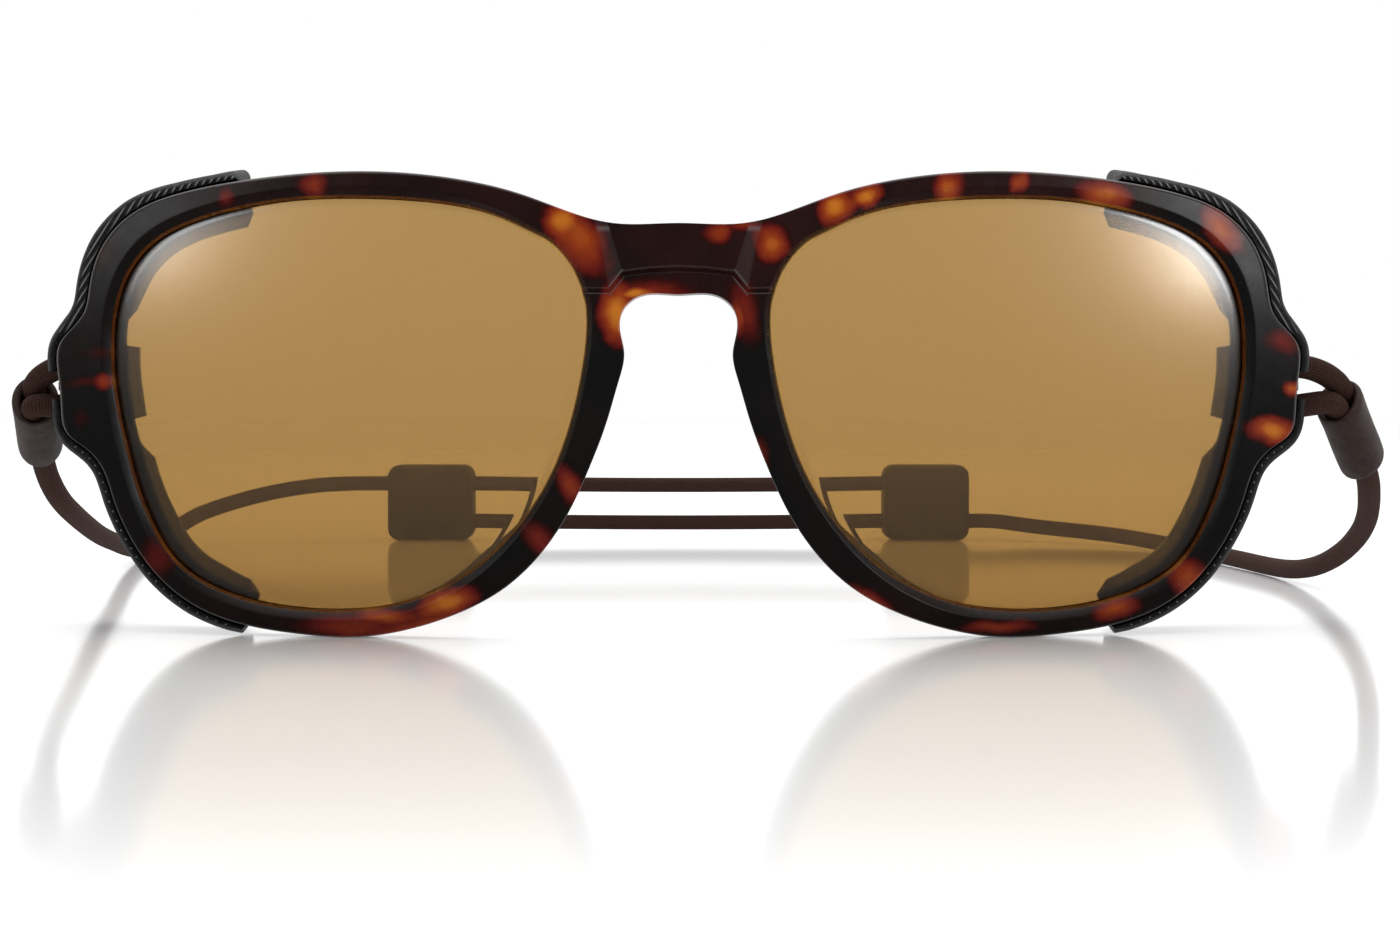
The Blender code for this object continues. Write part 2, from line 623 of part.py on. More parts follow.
def main():
    clear_scene()
    shell = material("tortoiseshell", (0.03, 0.018, 0.015), 0.18)
    glass = material("amber_lens", (0.45, 0.26, 0.08), 0.03, alpha=0.5)
    rubber = material("black_rubber", (0.012, 0.012, 0.012), 0.65)
    cord = material("brown_cord", (0.045, 0.022, 0.018), 0.55)
    shrink = material("shrink_sleeve", (0.03, 0.02, 0.017), 0.5)
    metal = material("crimp_metal", (0.6, 0.6, 0.6), 0.35, metallic=1.0)
    block = material("slider_rubber", (0.02, 0.012, 0.01), 0.5)

    make_front(shell)
    for side, word in ((1, "right"), (-1, "left")):
        make_lens("lens_" + word, side, glass)
        make_shield("shield_" + word, side, rubber)
        make_loop("cord_loop_" + word, side, cord)
        make_sleeve("sleeve_" + word, side, shrink)
        make_crimp("crimp_" + word, side, metal)
        make_slider("slider_" + word, side, block)
    make_run("cord_run_right", 1, ROUTE_RIGHT, HOLE_LOW, cord)
    make_run("cord_run_left", -1, ROUTE_LEFT, HOLE_HIGH, cord)
    make_tail("cord_tail_right", 1, HOLE_LOW, cord)
    make_tail("cord_tail_left", -1, HOLE_HIGH, cord)
    make_stop("cord_stop_right", -1, HOLE_LOW, metal)
    make_stop("cord_stop_left", 1, HOLE_HIGH, metal)
    for obj in bpy.data.objects:
        obj.location.y -= ORIGIN_BACK * MM


main()
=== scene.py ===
"""The looks of the glacier glasses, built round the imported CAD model.

Outlines and routes are in millimetres, as in the CAD source: x, distance back from the front of the bridge,
and height. The outlines give heights above the middle of the lenses, for the +X half.
"""

import math

import bmesh
import bpy
import numpy as np
from mathutils import Matrix, Vector, noise

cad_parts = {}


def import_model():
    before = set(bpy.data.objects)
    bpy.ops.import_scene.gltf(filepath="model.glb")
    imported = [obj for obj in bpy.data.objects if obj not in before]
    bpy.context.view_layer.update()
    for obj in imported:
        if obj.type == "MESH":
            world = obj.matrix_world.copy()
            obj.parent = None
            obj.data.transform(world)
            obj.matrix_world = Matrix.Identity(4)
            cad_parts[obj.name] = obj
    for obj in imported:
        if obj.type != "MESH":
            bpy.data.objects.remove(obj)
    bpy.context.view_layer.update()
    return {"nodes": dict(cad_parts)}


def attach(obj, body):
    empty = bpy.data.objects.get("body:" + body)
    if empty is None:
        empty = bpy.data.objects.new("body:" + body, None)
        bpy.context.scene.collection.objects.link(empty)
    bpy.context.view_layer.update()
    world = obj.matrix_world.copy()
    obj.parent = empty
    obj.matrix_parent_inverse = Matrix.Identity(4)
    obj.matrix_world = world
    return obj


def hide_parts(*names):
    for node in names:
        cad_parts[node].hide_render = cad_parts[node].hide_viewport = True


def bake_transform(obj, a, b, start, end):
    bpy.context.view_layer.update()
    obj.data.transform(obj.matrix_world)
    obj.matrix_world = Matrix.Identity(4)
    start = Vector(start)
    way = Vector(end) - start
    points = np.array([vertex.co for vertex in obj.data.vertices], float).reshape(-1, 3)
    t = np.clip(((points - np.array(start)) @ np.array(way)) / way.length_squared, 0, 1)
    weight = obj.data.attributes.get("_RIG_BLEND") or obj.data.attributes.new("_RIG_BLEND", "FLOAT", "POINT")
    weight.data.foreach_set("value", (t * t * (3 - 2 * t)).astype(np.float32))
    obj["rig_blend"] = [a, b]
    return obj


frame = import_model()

MM = 0.001
LENS_HEIGHT = 26.4
ORIGIN_BACK = 15.82
SIDES = (("left", -1), ("right", 1))

# ---- the CAD source's outlines and routes

WRAP_RADIUS = 220.0
TILT_RADIUS = 150.0

# Matched points round one rim: lens opening x, z, then outer edge x, z, from the top of the bridge outwards
RIM = [
    (13.2, 17.0, 0.0, 20.1), (14.4, 18.1, 7.2, 20.1), (16.8, 19.4, 12.6, 21.6), (20.0, 20.9, 17.9, 23.6),
    (25.0, 22.3, 23.8, 25.1), (31.0, 23.05, 30.6, 26.05), (38.0, 23.35, 38.0, 26.35),
    (45.0, 23.1, 45.4, 26.0), (50.5, 22.25, 51.6, 25.3), (55.5, 20.95, 57.6, 24.15),
    (60.0, 18.85, 63.0, 22.05), (62.6, 16.3, 66.4, 18.7), (64.2, 13.2, 68.1, 13.8),
    (64.9, 10.2, 68.75, 10.6), (65.1, 8.0, 70.3, 8.65), (65.1, 6.2, 71.85, 6.8),
    (65.0, 3.5, 71.9, 3.3), (64.6, 0.8, 71.55, -0.2), (64.1, -1.9, 71.0, -3.1),
    (63.5, -4.3, 68.5, -5.05), (62.85, -6.9, 66.5, -7.2), (61.6, -10.8, 65.1, -10.9),
    (60.0, -14.4, 62.9, -15.7), (57.7, -17.8, 60.0, -19.6), (53.9, -20.5, 55.6, -23.05),
    (48.6, -22.35, 49.6, -25.2), (42.6, -23.2, 43.0, -26.15), (36.8, -23.2, 36.6, -26.4),
    (31.5, -22.4, 30.6, -25.45), (26.6, -20.6, 24.5, -23.4), (22.0, -17.7, 19.3, -20.5),
    (18.2, -13.9, 15.2, -16.6), (15.2, -9.6, 12.2, -12.2), (13.0, -4.9, 9.8, -7.1),
    (11.5, 0.2, 7.9, -2.1), (10.6, 4.9, 6.55, 2.5), (10.3, 7.6, 5.95, 5.6),
    (10.25, 9.4, 6.45, 8.3), (10.4, 11.2, 6.0, 10.7), (10.65, 12.2, 4.2, 12.05),
    (10.95, 13.2, 0.0, 12.15),
]
LAST_KEY = len(RIM) - 1
FRONT_THICKNESS = 4.0
GROOVE_END = 3.35
GROOVE_REACH = 1.1
LENS_REACH = 0.8
LENS_FRONT = 1.45
LENS_BACK = 3.05
PAD_FIRST_KEY, PAD_LAST_KEY = 29.5, 38.3
PAD_DEPTH = 5.5
PAD_FLARE = 0.35

LUG_X = (66.6, 72.5)
LUG_Y = (14.0, 20.4)
LUG_HEIGHT = 2.1
LUG_HALF_THICKNESS = 0.55
LUG_HOLE = (69.45, 17.2)
LUG_HOLE_RADIUS = 1.9

# Side shield: rim key, back edge x, z, y, reach outside the rim, reach inside the lens edge
SHIELD = [
    (7.8, 50.6, 27.9, 16.5, 1.3, 0.5), (8.0, 51.9, 27.9, 17.3, 1.35, 1.9),
    (9.0, 57.9, 27.0, 20.5, 1.5, 1.9), (10.0, 64.3, 24.6, 24.0, 1.9, 1.9),
    (11.0, 68.8, 20.8, 27.0, 2.0, 1.9), (12.0, 71.4, 15.8, 29.5, 2.0, 1.9),
    (12.7, 72.2, 12.8, 30.5, 2.0, 1.5), (13.1, 72.4, 11.4, 30.8, 2.0, 0.6),
    (14.0, 72.5, 8.8, 31.2, 1.8, 0.6), (14.6, 72.4, 7.4, 31.4, 1.6, 0.6),
    (14.64, 72.4, 7.3, 31.4, 1.6, 2.3), (16.0, 72.2, 3.3, 31.5, 1.5, 2.3),
    (17.94, 71.6, -2.9, 31.5, 1.45, 2.2), (17.98, 71.6, -3.0, 31.5, 1.45, 0.65),
    (19.0, 70.8, -5.6, 31.0, 1.6, 0.65), (19.3, 70.5, -6.4, 30.8, 1.6, 1.0),
    (19.8, 70.0, -7.6, 30.3, 1.6, 2.0), (21.0, 68.2, -12.3, 28.2, 1.6, 2.2),
    (22.0, 65.6, -16.7, 26.0, 1.5, 2.2), (23.0, 62.0, -20.4, 23.2, 1.5, 2.2),
    (24.0, 56.8, -23.9, 20.0, 1.4, 2.2), (24.7, 52.3, -25.4, 17.6, 1.3, 1.8),
    (25.0, 50.2, -25.9, 16.5, 1.15, 0.5),
]
SHIELD_JUMPS = (14.64, 17.98)  # keys where only the web's reach changes
SHIELD_GAP = 0.3
SHIELD_WEB = (4.3, 6.0)
SHIELD_WALL = 0.9

CORD_RADIUS = 1.4
CORD_REST = 1.45
BEND_RADIUS = 2.35
SLEEVE_LENGTH = 11.2
SLEEVE_OUTER = (3.35, 2.7)
SLEEVE_INNER = (3.05, 2.4)
CRIMP_END = 8.3  # from the sleeve's mouth
SLEEVE_MOUTH = {1: (78.5, 19.0, 26.8), -1: (-76.5, 19.0, 26.9)}
SLEEVE_END = {1: (84.2, 27.0, 18.35), -1: (-78.6, 28.9, 21.1)}
STRAND_OFFSET = 1.45
STRAND_LEAD = 0.9

SLIDER_SIZE = (16.5, 8.0, 14.6)
SLIDER_X = 48.0
SLIDER_Y = 191.0
SLIDER_CORNER = 2.3
SLIDER_HOLE_RADIUS = 1.75
HOLE_LOW = 3.65
HOLE_HIGH = 10.95
STRAND_SAG = 0.33
STRAND_START_GAP = 0.35  # between a slider's inner face and where the strand starts to sag
ENTRY_OFFSET = 8.0  # where a cord straightens to enter a slider, outward from the slider's middle
CORD_END_OFFSET = 2.6  # of the cord's end, outward from the farther slider's middle

ROUTE_RIGHT = [
    (85.7, 31.0, 16.6), (87.0, 35.0, 15.2), (88.5, 40.0, 13.5), (90.2, 47.0, 11.0), (91.4, 55.0, 8.4),
    (91.9, 63.0, 6.0), (91.7, 71.0, 3.9), (91.3, 81.0, 2.3), (91.0, 95.0, 1.5), (90.2, 112.0, CORD_REST),
    (88.9, 130.0, CORD_REST), (87.4, 147.0, CORD_REST), (84.3, 161.0, 1.75), (79.0, 172.5, 2.2),
    (72.6, 180.6, 2.6), (66.3, 187.1, 3.1), (60.6, 190.85, 3.62),
]
ROUTE_LEFT = [
    (-79.4, 34.0, 18.0), (-79.8, 40.0, 15.0), (-80.6, 50.0, 12.2), (-82.3, 64.0, 9.7), (-84.4, 80.0, 7.3),
    (-86.5, 96.0, 5.4), (-88.9, 112.0, 3.7), (-90.7, 127.0, 2.2), (-91.4, 140.0, 1.6),
    (-91.2, 150.0, 2.6), (-90.0, 158.5, 4.4), (-87.7, 164.8, 6.2), (-84.3, 169.6, 7.6),
    (-78.5, 175.0, 9.3), (-72.0, 180.8, 10.5),
    (-66.0, 187.1, 10.95), (-60.6, 190.85, 10.95),
]


# ---- curves and meshes


def smooth_curve(points, closed=False):
    """A cubic curve with continuous curvature through the points, as a function of the point number."""
    p = np.array(points, float)
    n = len(p)
    chord = np.linalg.norm(np.roll(p, -1, axis=0) - p, axis=1)
    matrix = np.zeros((n, n))
    right = np.zeros_like(p)
    for i in range(n):
        before, after = chord[i - 1], chord[i]
        if not closed and i in (0, n - 1):
            step, other = (chord[0], 1) if i == 0 else (chord[n - 2], n - 2)
            matrix[i, i], matrix[i, other] = 2, 1
            right[i] = 3 * (p[other] - p[i]) / step * (1 if i == 0 else -1)
            continue
        matrix[i, i] = 2 * (before + after)
        matrix[i, i - 1] += after
        matrix[i, (i + 1) % n] += before
        ahead = (p[(i + 1) % n] - p[i]) / after
        behind = (p[i] - p[i - 1]) / before
        right[i] = 3 * (after * behind + before * ahead)
    slope = np.linalg.solve(matrix, right)

    def at(key):
        i = int(math.floor(key))
        if not closed:
            i = min(max(i, 0), n - 2)
        u = key - i
        i, j = i % n, (i + 1) % n
        h = chord[i]
        return (
            (1 + 2 * u) * (1 - u) ** 2 * p[i]
            + u * (1 - u) ** 2 * h * slope[i]
            + u * u * (3 - 2 * u) * p[j]
            + u * u * (u - 1) * h * slope[j]
        )

    return at


def outer_loop():
    right = [(x, z) for _, _, x, z in RIM]
    left = [(-x, z) for x, z in reversed(right[1:-1])]
    return smooth_curve(right + left, closed=True)


LENS_EDGE = smooth_curve([(x, z) for x, z, _, _ in RIM], closed=True)
OUTER_EDGE = outer_loop()


def outward(curve, key):
    """The unit normal that points away from the middle of a clockwise outline."""
    tx, tz = curve(key + 0.01) - curve(key - 0.01)
    return np.array([-tz, tx]) / math.hypot(tx, tz)


def surface(x, z):
    """How far back the front surface lies at a place."""
    return x * x / (2 * WRAP_RADIUS) + z * z / (2 * TILT_RADIUS)


def world(x, back, height):
    """A point in metres from the CAD source's x, distance back and height."""
    return Vector((x * MM, (back - ORIGIN_BACK) * MM, height * MM))


def placed(x, z, depth):
    """A point in metres from a place on the front view and a depth behind the front surface."""
    return world(x, surface(x, z) + depth, z + LENS_HEIGHT)


def smoothstep(low, high, value):
    t = min(max((value - low) / (high - low), 0.0), 1.0)
    return t * t * (3 - 2 * t)


MERGE_DISTANCE = 2e-6


def object_from(name, bm, material=None, sharp=40):
    """An object from a bmesh. Edges bent by more than sharp degrees stay sharp."""
    bmesh.ops.remove_doubles(bm, verts=bm.verts, dist=MERGE_DISTANCE)
    bmesh.ops.delete(bm, geom=[v for v in bm.verts if not v.link_faces], context="VERTS")
    bmesh.ops.recalc_face_normals(bm, faces=bm.faces)
    mesh = bpy.data.meshes.new(name)
    bm.to_mesh(mesh)
    bm.free()
    mesh.shade_smooth()
    mesh.set_sharp_from_angle(angle=math.radians(sharp))
    obj = bpy.data.objects.new(name, mesh)
    bpy.context.scene.collection.objects.link(obj)
    if material:
        mesh.materials.append(material)
    return obj


def sweep(bm, rows, closed_rows=False):
    """Quads between neighbouring closed rows of points. Returns the rows of vertices."""
    made = [[bm.verts.new(p) for p in row] for row in rows]
    pairs = list(zip(made, made[1:]))
    if closed_rows:
        pairs.append((made[-1], made[0]))
    for a, b in pairs:
        for j in range(len(a)):
            k = (j + 1) % len(a)
            bm.faces.new((a[j], a[k], b[k], b[j]))
    return made


def mirror_x(bm):
    """Adds the mirror image of a mesh across x = 0."""
    copy = bmesh.ops.duplicate(bm, geom=list(bm.verts) + list(bm.edges) + list(bm.faces))["geom"]
    verts = [g for g in copy if isinstance(g, bmesh.types.BMVert)]
    faces = [g for g in copy if isinstance(g, bmesh.types.BMFace)]
    bmesh.ops.transform(bm, matrix=Matrix.Scale(-1, 4, (1, 0, 0)), verts=verts)
    bmesh.ops.reverse_faces(bm, faces=faces)


def cut_away(obj, cutters):
    """Takes the cutters out of the object, and leaves a plain mesh."""
    for cutter in cutters:
        modifier = obj.modifiers.new("cut", "BOOLEAN")
        modifier.operation = "DIFFERENCE"
        modifier.solver = "EXACT"
        modifier.object = cutter
    bpy.context.view_layer.update()
    evaluated = obj.evaluated_get(bpy.context.evaluated_depsgraph_get())
    made = bpy.data.meshes.new_from_object(evaluated)
    obj.modifiers.clear()
    obj.data = made
    for cutter in cutters:
        bpy.data.objects.remove(cutter)


def box_between(low, high):
    """A bmesh box between two corners."""
    bm = bmesh.new()
    bmesh.ops.create_cube(bm, size=1.0)
    for v in bm.verts:
        v.co = Vector([low[i] if c < 0 else high[i] for i, c in enumerate(v.co)])
    return bm


def bevel(bm, edges, width, segments):
    bmesh.ops.bevel(bm, geom=edges, offset=width, segments=segments, profile=0.5, affect="EDGES")


ROD_SIDES = 40


def rod(name, start, end, radius):
    bm = bmesh.new()
    axis = (end - start).normalized()
    turn = Vector((0, 0, 1)).rotation_difference(axis).to_matrix().to_4x4()
    bmesh.ops.create_cone(
        bm, cap_ends=True, segments=ROD_SIDES, radius1=radius, radius2=radius,
        depth=(end - start).length, matrix=Matrix.Translation((start + end) / 2) @ turn,
    )
    return object_from(name, bm)


# ---- materials


def new_material(name):
    made = bpy.data.materials.new(name)
    made.use_nodes = True
    return made, made.node_tree, made.node_tree.nodes["Principled BSDF"]


def link_or_set(tree, socket, value):
    """Connects a socket to another one, or sets its value."""
    if isinstance(value, bpy.types.NodeSocket):
        tree.links.new(value, socket)
    else:
        socket.default_value = value


def feed(tree, node, inputs):
    """Connects or sets several of a node's inputs, by name."""
    for name, value in inputs.items():
        link_or_set(tree, node.inputs[name], value)


def object_place(tree):
    return tree.nodes.new("ShaderNodeTexCoord").outputs["Object"]


def attribute(tree, name):
    node = tree.nodes.new("ShaderNodeAttribute")
    node.attribute_name = name
    return node.outputs


def split_xyz(tree, vector):
    node = tree.nodes.new("ShaderNodeSeparateXYZ")
    tree.links.new(vector, node.inputs[0])
    return node.outputs


def math_node(tree, operation, *values):
    node = tree.nodes.new("ShaderNodeMath")
    node.operation = operation
    for socket, value in zip(node.inputs, values):
        link_or_set(tree, socket, value)
    return node.outputs[0]


def map_range(tree, value, source, target=(0.0, 1.0), kind="SMOOTHSTEP"):
    node = tree.nodes.new("ShaderNodeMapRange")
    node.interpolation_type = kind
    feed(tree, node, {"Value": value, "From Min": source[0], "From Max": source[1]})
    feed(tree, node, {"To Min": target[0], "To Max": target[1]})
    return node.outputs[0]


def noise_node(tree, scale, detail=2.0):
    node = tree.nodes.new("ShaderNodeTexNoise")
    feed(tree, node, {"Vector": object_place(tree), "Scale": scale, "Detail": detail})
    return node.outputs["Fac"]


def grey(value):
    return (value,) * 3


def ramp_node(tree, value, stops):
    """A colour ramp over a value, from stops of (position, colour)."""
    node = tree.nodes.new("ShaderNodeValToRGB")
    elements = node.color_ramp.elements
    elements[0].position, elements[0].color = stops[0][0], (*stops[0][1], 1)
    elements[1].position, elements[1].color = stops[-1][0], (*stops[-1][1], 1)
    for position, colour in stops[1:-1]:
        elements.new(position).color = (*colour, 1)
    tree.links.new(value, node.inputs["Fac"])
    return node.outputs["Color"]


def bump(tree, shader, height, strength, distance):
    node = tree.nodes.new("ShaderNodeBump")
    feed(tree, node, {"Strength": strength, "Distance": distance, "Height": height})
    feed(tree, shader, {"Normal": node.outputs["Normal"]})


def mixed(tree, factor, a, b, kind="RGBA", blend="MIX"):
    node = tree.nodes.new("ShaderNodeMix")
    node.data_type = kind
    if kind == "RGBA":
        node.blend_type = blend
        first, second, out = node.inputs[6], node.inputs[7], node.outputs[2]
    else:
        first, second, out = node.inputs[2], node.inputs[3], node.outputs[0]
    for socket, value in ((node.inputs[0], factor), (first, a), (second, b)):
        link_or_set(tree, socket, value)
    return out


def tortoise_material():
    """Dark shell with amber patches, an amber wall round each opening, and painted highlights in pale grey
    along some edges, creases and facets.
    """
    made, tree, shader = new_material("tortoiseshell")
    patch, wall, warmth, painted_highlight = (
        attribute(tree, name)["Fac"] for name in ("patch", "opening_wall", "warmth", "painted_highlight")
    )
    cloud = noise_node(tree, 110.0, 1.0)
    cool = ramp_node(tree, cloud, [(0.4, (0.0052, 0.0051, 0.0051)), (0.65, (0.0085, 0.0058, 0.0056))])
    warm = ramp_node(tree, cloud, [(0.38, (0.0125, 0.0038, 0.0036)), (0.62, (0.022, 0.0055, 0.0051))])
    undertone = mixed(tree, warmth, cool, warm)
    patches = ramp_node(tree, patch, [
        (0.0, grey(0.0)), (0.16, (0.045, 0.003, 0.002)), (0.3, (0.14, 0.009, 0.005)),
        (0.6, (0.3, 0.04, 0.006)), (1.0, (0.58, 0.175, 0.015)),
    ])
    cover = ramp_node(tree, patch, [(0.02, grey(0.0)), (0.16, grey(1.0))])
    base = mixed(tree, cover, undertone, patches)
    edge = mixed(tree, patch, (0.065, 0.015, 0.002, 1), (0.45, 0.15, 0.02, 1))
    coloured = mixed(tree, wall, base, edge)
    # Painted highlights: a pale grey mixed in along the rim's outer edge, the bridge's groove and its
    # facets.
    coloured = mixed(tree, painted_highlight, coloured, (0.16, 0.145, 0.14, 1))
    rough = ramp_node(tree, noise_node(tree, 420.0, 3.0), [(0.35, grey(0.24)), (0.7, grey(0.3))])
    feed(tree, shader, {"Base Color": coloured, "Roughness": rough, "Specular IOR Level": 0.26})
    return made


def lens_material():
    """Amber glass, darker towards the bottom, with a hazy coat that shows the lights in its corners."""
    made, tree, shader = new_material("amber_lens")
    height = map_range(tree, split_xyz(tree, object_place(tree))["Z"], (0.003, 0.05), kind="LINEAR")
    tint = ramp_node(tree, height, [
        (0.0, (0.325, 0.17, 0.038)), (0.45, (0.455, 0.26, 0.071)), (1.0, (0.495, 0.29, 0.088)),
    ])
    grain = ramp_node(tree, noise_node(tree, 3000.0), [(0.3, grey(0.96)), (0.7, grey(1.0))])
    feed(tree, shader, {
        "Base Color": mixed(tree, 1.0, tint, grain, blend="MULTIPLY"), "Roughness": 0.0, "IOR": 1.12,
        "Transmission Weight": 1.0, "Coat Weight": 1.0, "Coat Roughness": 0.22, "Coat IOR": 2.3,
    })
    return made


RIB_PITCH = 0.66  # millimetres between the shields' slanting ribs
RIB_SLANT = 57.0  # degrees from level, seen from the front


def rib_wave(tree):
    """A wave with a ridge for each rib: parallel slanting ridges, alike on both sides. It drives the ribs'
    bump and their painted highlights.
    """
    place = split_xyz(tree, object_place(tree))
    turns = 2 * math.pi / (RIB_PITCH * MM)
    slant = math.radians(RIB_SLANT)
    outward_x = math_node(tree, "ABSOLUTE", place["X"])
    sideways = math_node(tree, "MULTIPLY", outward_x, turns * math.sin(slant))
    phase = math_node(tree, "MULTIPLY_ADD", place["Z"], turns * math.cos(slant), sideways)
    return math_node(tree, "COSINE", phase)


def rubber_material():
    """Fine-grained black rubber, with slanting ribs where the shield's "ribbed" attribute asks for them:
    bumped, and with painted highlights on their tops.
    """
    made, tree, shader = new_material("black_rubber")
    grain = noise_node(tree, 5200.0, 3.0)
    speck = ramp_node(tree, grain, [(0.45, (0.0045, 0.0047, 0.0049)), (0.68, (0.02, 0.0205, 0.021))])
    ribbed = attribute(tree, "ribbed")
    wave = rib_wave(tree)
    # Painted highlight: a light grey on the top of each rib, where the ribbed attribute asks for it.
    rib_highlight = ramp_node(tree, wave, [(0.55, grey(0.0)), (0.95, grey(1.0))])
    rib_highlight = mixed(tree, 1.0, rib_highlight, ribbed["Color"], blend="MULTIPLY")
    colour = mixed(tree, rib_highlight, speck, (0.2, 0.2, 0.205, 1))
    rough = ramp_node(tree, noise_node(tree, 900.0, 3.0), [(0.3, grey(0.46)), (0.7, grey(0.6))])
    feed(tree, shader, {"Base Color": colour, "Roughness": rough, "Specular IOR Level": 0.16})
    height = mixed(tree, ribbed["Fac"], grain, wave, kind="FLOAT")
    bump(tree, shader, height, 0.6, 0.00007)
    return made


def cord_material():
    """Fine over-and-under weave, from two sets of slanting bands in the tube's own coordinates."""
    made, tree, shader = new_material("brown_cord")
    weave = split_xyz(tree, attribute(tree, "weave")["Vector"])
    bands = [
        math_node(tree, "SINE", math_node(tree, "MULTIPLY_ADD", weave["Y"], sign, weave["X"]))
        for sign in (1.0, -1.0)
    ]
    crossing = math_node(tree, "MULTIPLY_ADD", math_node(tree, "MULTIPLY", *bands), 0.5, 0.5)
    height = mixed(tree, 0.55, crossing, noise_node(tree, 4200.0, 3.0), kind="FLOAT")
    # The colour follows the weave's height: painted shade in its dips and a lighter brown on its crossings,
    # with a random mottle from the noise.
    colour = ramp_node(tree, height, [
        (0.2, (0.02, 0.0095, 0.0073)), (0.55, (0.045, 0.0225, 0.0175)), (0.85, (0.075, 0.041, 0.033)),
    ])
    feed(tree, shader, {"Base Color": colour, "Roughness": 0.8, "Specular IOR Level": 0.05})
    bump(tree, shader, height, 0.35, 0.00006)
    return made


MOTTLE_SCALE = 1500.0


def soft_plastic(name, dark, light, roughness):
    """A matte moulded surface with a faint mottle."""
    made, tree, shader = new_material(name)
    mottle = noise_node(tree, MOTTLE_SCALE, 3.0)
    colour = ramp_node(tree, mottle, [(0.3, dark), (0.7, light)])
    rough = ramp_node(tree, noise_node(tree, MOTTLE_SCALE / 3), [
        (0.3, grey(roughness - 0.05)), (0.7, grey(roughness + 0.06)),
    ])
    feed(tree, shader, {"Base Color": colour, "Roughness": rough, "Specular IOR Level": 0.22})
    bump(tree, shader, mottle, 0.18, 0.00004)
    return made


def metal_material():
    made, tree, shader = new_material("crimp_metal")
    scratches = noise_node(tree, 2200.0, 3.0)
    colour = ramp_node(tree, scratches, [(0.3, (0.42, 0.42, 0.41)), (0.7, (0.62, 0.62, 0.6))])
    feed(tree, shader, {"Base Color": colour, "Roughness": 0.35, "Metallic": 1.0})
    return made


GLOSS_PLACES = (-0.16, -0.02)  # y between which the floor's gloss comes in, in front of the glasses
GLOSS_MOST = 0.72


def floor_material():
    made, tree, shader = new_material("pale_floor")
    gloss = map_range(tree, split_xyz(tree, object_place(tree))["Y"], GLOSS_PLACES, (0.0, GLOSS_MOST))
    feed(tree, shader, {
        "Base Color": (0.96, 0.96, 0.96, 1), "Roughness": 0.11, "IOR": 2.1, "Specular IOR Level": gloss,
    })
    return made


# ---- camera, light and floor

CAMERA_BACK = 250.0  # millimetres in front of the bridge, level with the middle of the lenses
FOCAL_LENGTH = 58.17
CAMERA_SHIFT = (0.01536, -0.04464)


def make_camera():
    data = bpy.data.cameras.new("camera")
    data.sensor_width = 36.0
    data.lens = FOCAL_LENGTH
    data.shift_x, data.shift_y = CAMERA_SHIFT
    data.clip_start = 0.005
    camera = bpy.data.objects.new("camera", data)
    camera.location = world(0, -CAMERA_BACK, LENS_HEIGHT)
    camera.rotation_euler = (math.radians(90), 0, 0)
    bpy.context.scene.collection.objects.link(camera)
    bpy.context.scene.camera = camera


def area_light(name, place, size, watts):
    """A rectangular light that faces the middle of the front."""
    data = bpy.data.lights.new(name, "AREA")
    data.shape = "RECTANGLE"
    data.size, data.size_y = size
    data.energy = watts
    light = bpy.data.objects.new(name, data)
    light.location = place
    towards = Vector(LIGHT_TARGET) - Vector(place)
    light.rotation_euler = towards.to_track_quat("-Z", "Y").to_euler()
    bpy.context.scene.collection.objects.link(light)


def make_world():
    """White all round for the eye. As a light it is bright behind and above, and dim in front."""
    scene_world = bpy.data.worlds.new("studio")
    bpy.context.scene.world = scene_world
    scene_world.use_nodes = True
    tree = scene_world.node_tree
    tree.nodes.clear()
    direction = split_xyz(tree, tree.nodes.new("ShaderNodeTexCoord").outputs["Generated"])
    back = map_range(tree, direction["Y"], (-0.45, 0.35), (0.13, 1.15))
    above = map_range(tree, direction["Z"], (-0.12, 0.02), (0.75, 1.0))
    backgrounds = []
    for strength in (math_node(tree, "MULTIPLY", back, above), 1.0):
        node = tree.nodes.new("ShaderNodeBackground")
        feed(tree, node, {"Color": (1, 1, 1, 1), "Strength": strength})
        backgrounds.append(node.outputs[0])
    path = tree.nodes.new("ShaderNodeLightPath").outputs
    seen = math_node(tree, "MAXIMUM", path["Is Camera Ray"], path["Is Transmission Ray"])
    mix = tree.nodes.new("ShaderNodeMixShader")
    for socket, value in zip(mix.inputs, (seen, *backgrounds)):
        tree.links.new(value, socket)
    feed(tree, tree.nodes.new("ShaderNodeOutputWorld"), {"Surface": mix.outputs[0]})


FLOOR_SIZE = 3.0
FLOOR_DROP = 0.00005  # below the cord, which lies on it
LIGHT_TARGET = (0, 0, 0.026)


def make_stage():
    bm = bmesh.new()
    bmesh.ops.create_grid(bm, x_segments=1, y_segments=1, size=FLOOR_SIZE)
    floor = object_from("floor", bm, floor_material())
    floor.location.z = -FLOOR_DROP
    floor.visible_glossy = False
    area_light("top", (0, 0.05, 0.75), (1.2, 0.9), 6.0)
    area_light("left_front", (-0.7, -0.58, 0.38), (0.2, 0.28), 0.62)
    area_light("right_front", (0.71, -0.57, 0.36), (0.2, 0.28), 1.5)
    bpy.context.scene.view_settings.view_transform = "Standard"


# ---- the cord

ROUTE_STEPS = 40  # places worked out between two of a route's points


def dense_route(points, spacing):
    """Points at an even spacing on a smooth curve through the route, in millimetres, and its length."""
    route = smooth_curve([tuple(p) for p in points])
    fine = np.array([route(i / ROUTE_STEPS) for i in range(ROUTE_STEPS * (len(points) - 1) + 1)])
    run = np.concatenate([[0], np.cumsum(np.linalg.norm(np.diff(fine, axis=0), axis=1))])
    steps = np.linspace(0, run[-1], max(2, round(run[-1] / spacing) + 1))
    return np.stack([np.interp(steps, run, fine[:, i]) for i in range(3)], axis=1), run[-1]


WEAVE_TURNS = 13  # bands of the weave round the cord
WEAVE_PITCH = 0.62  # millimetres along the cord for each band


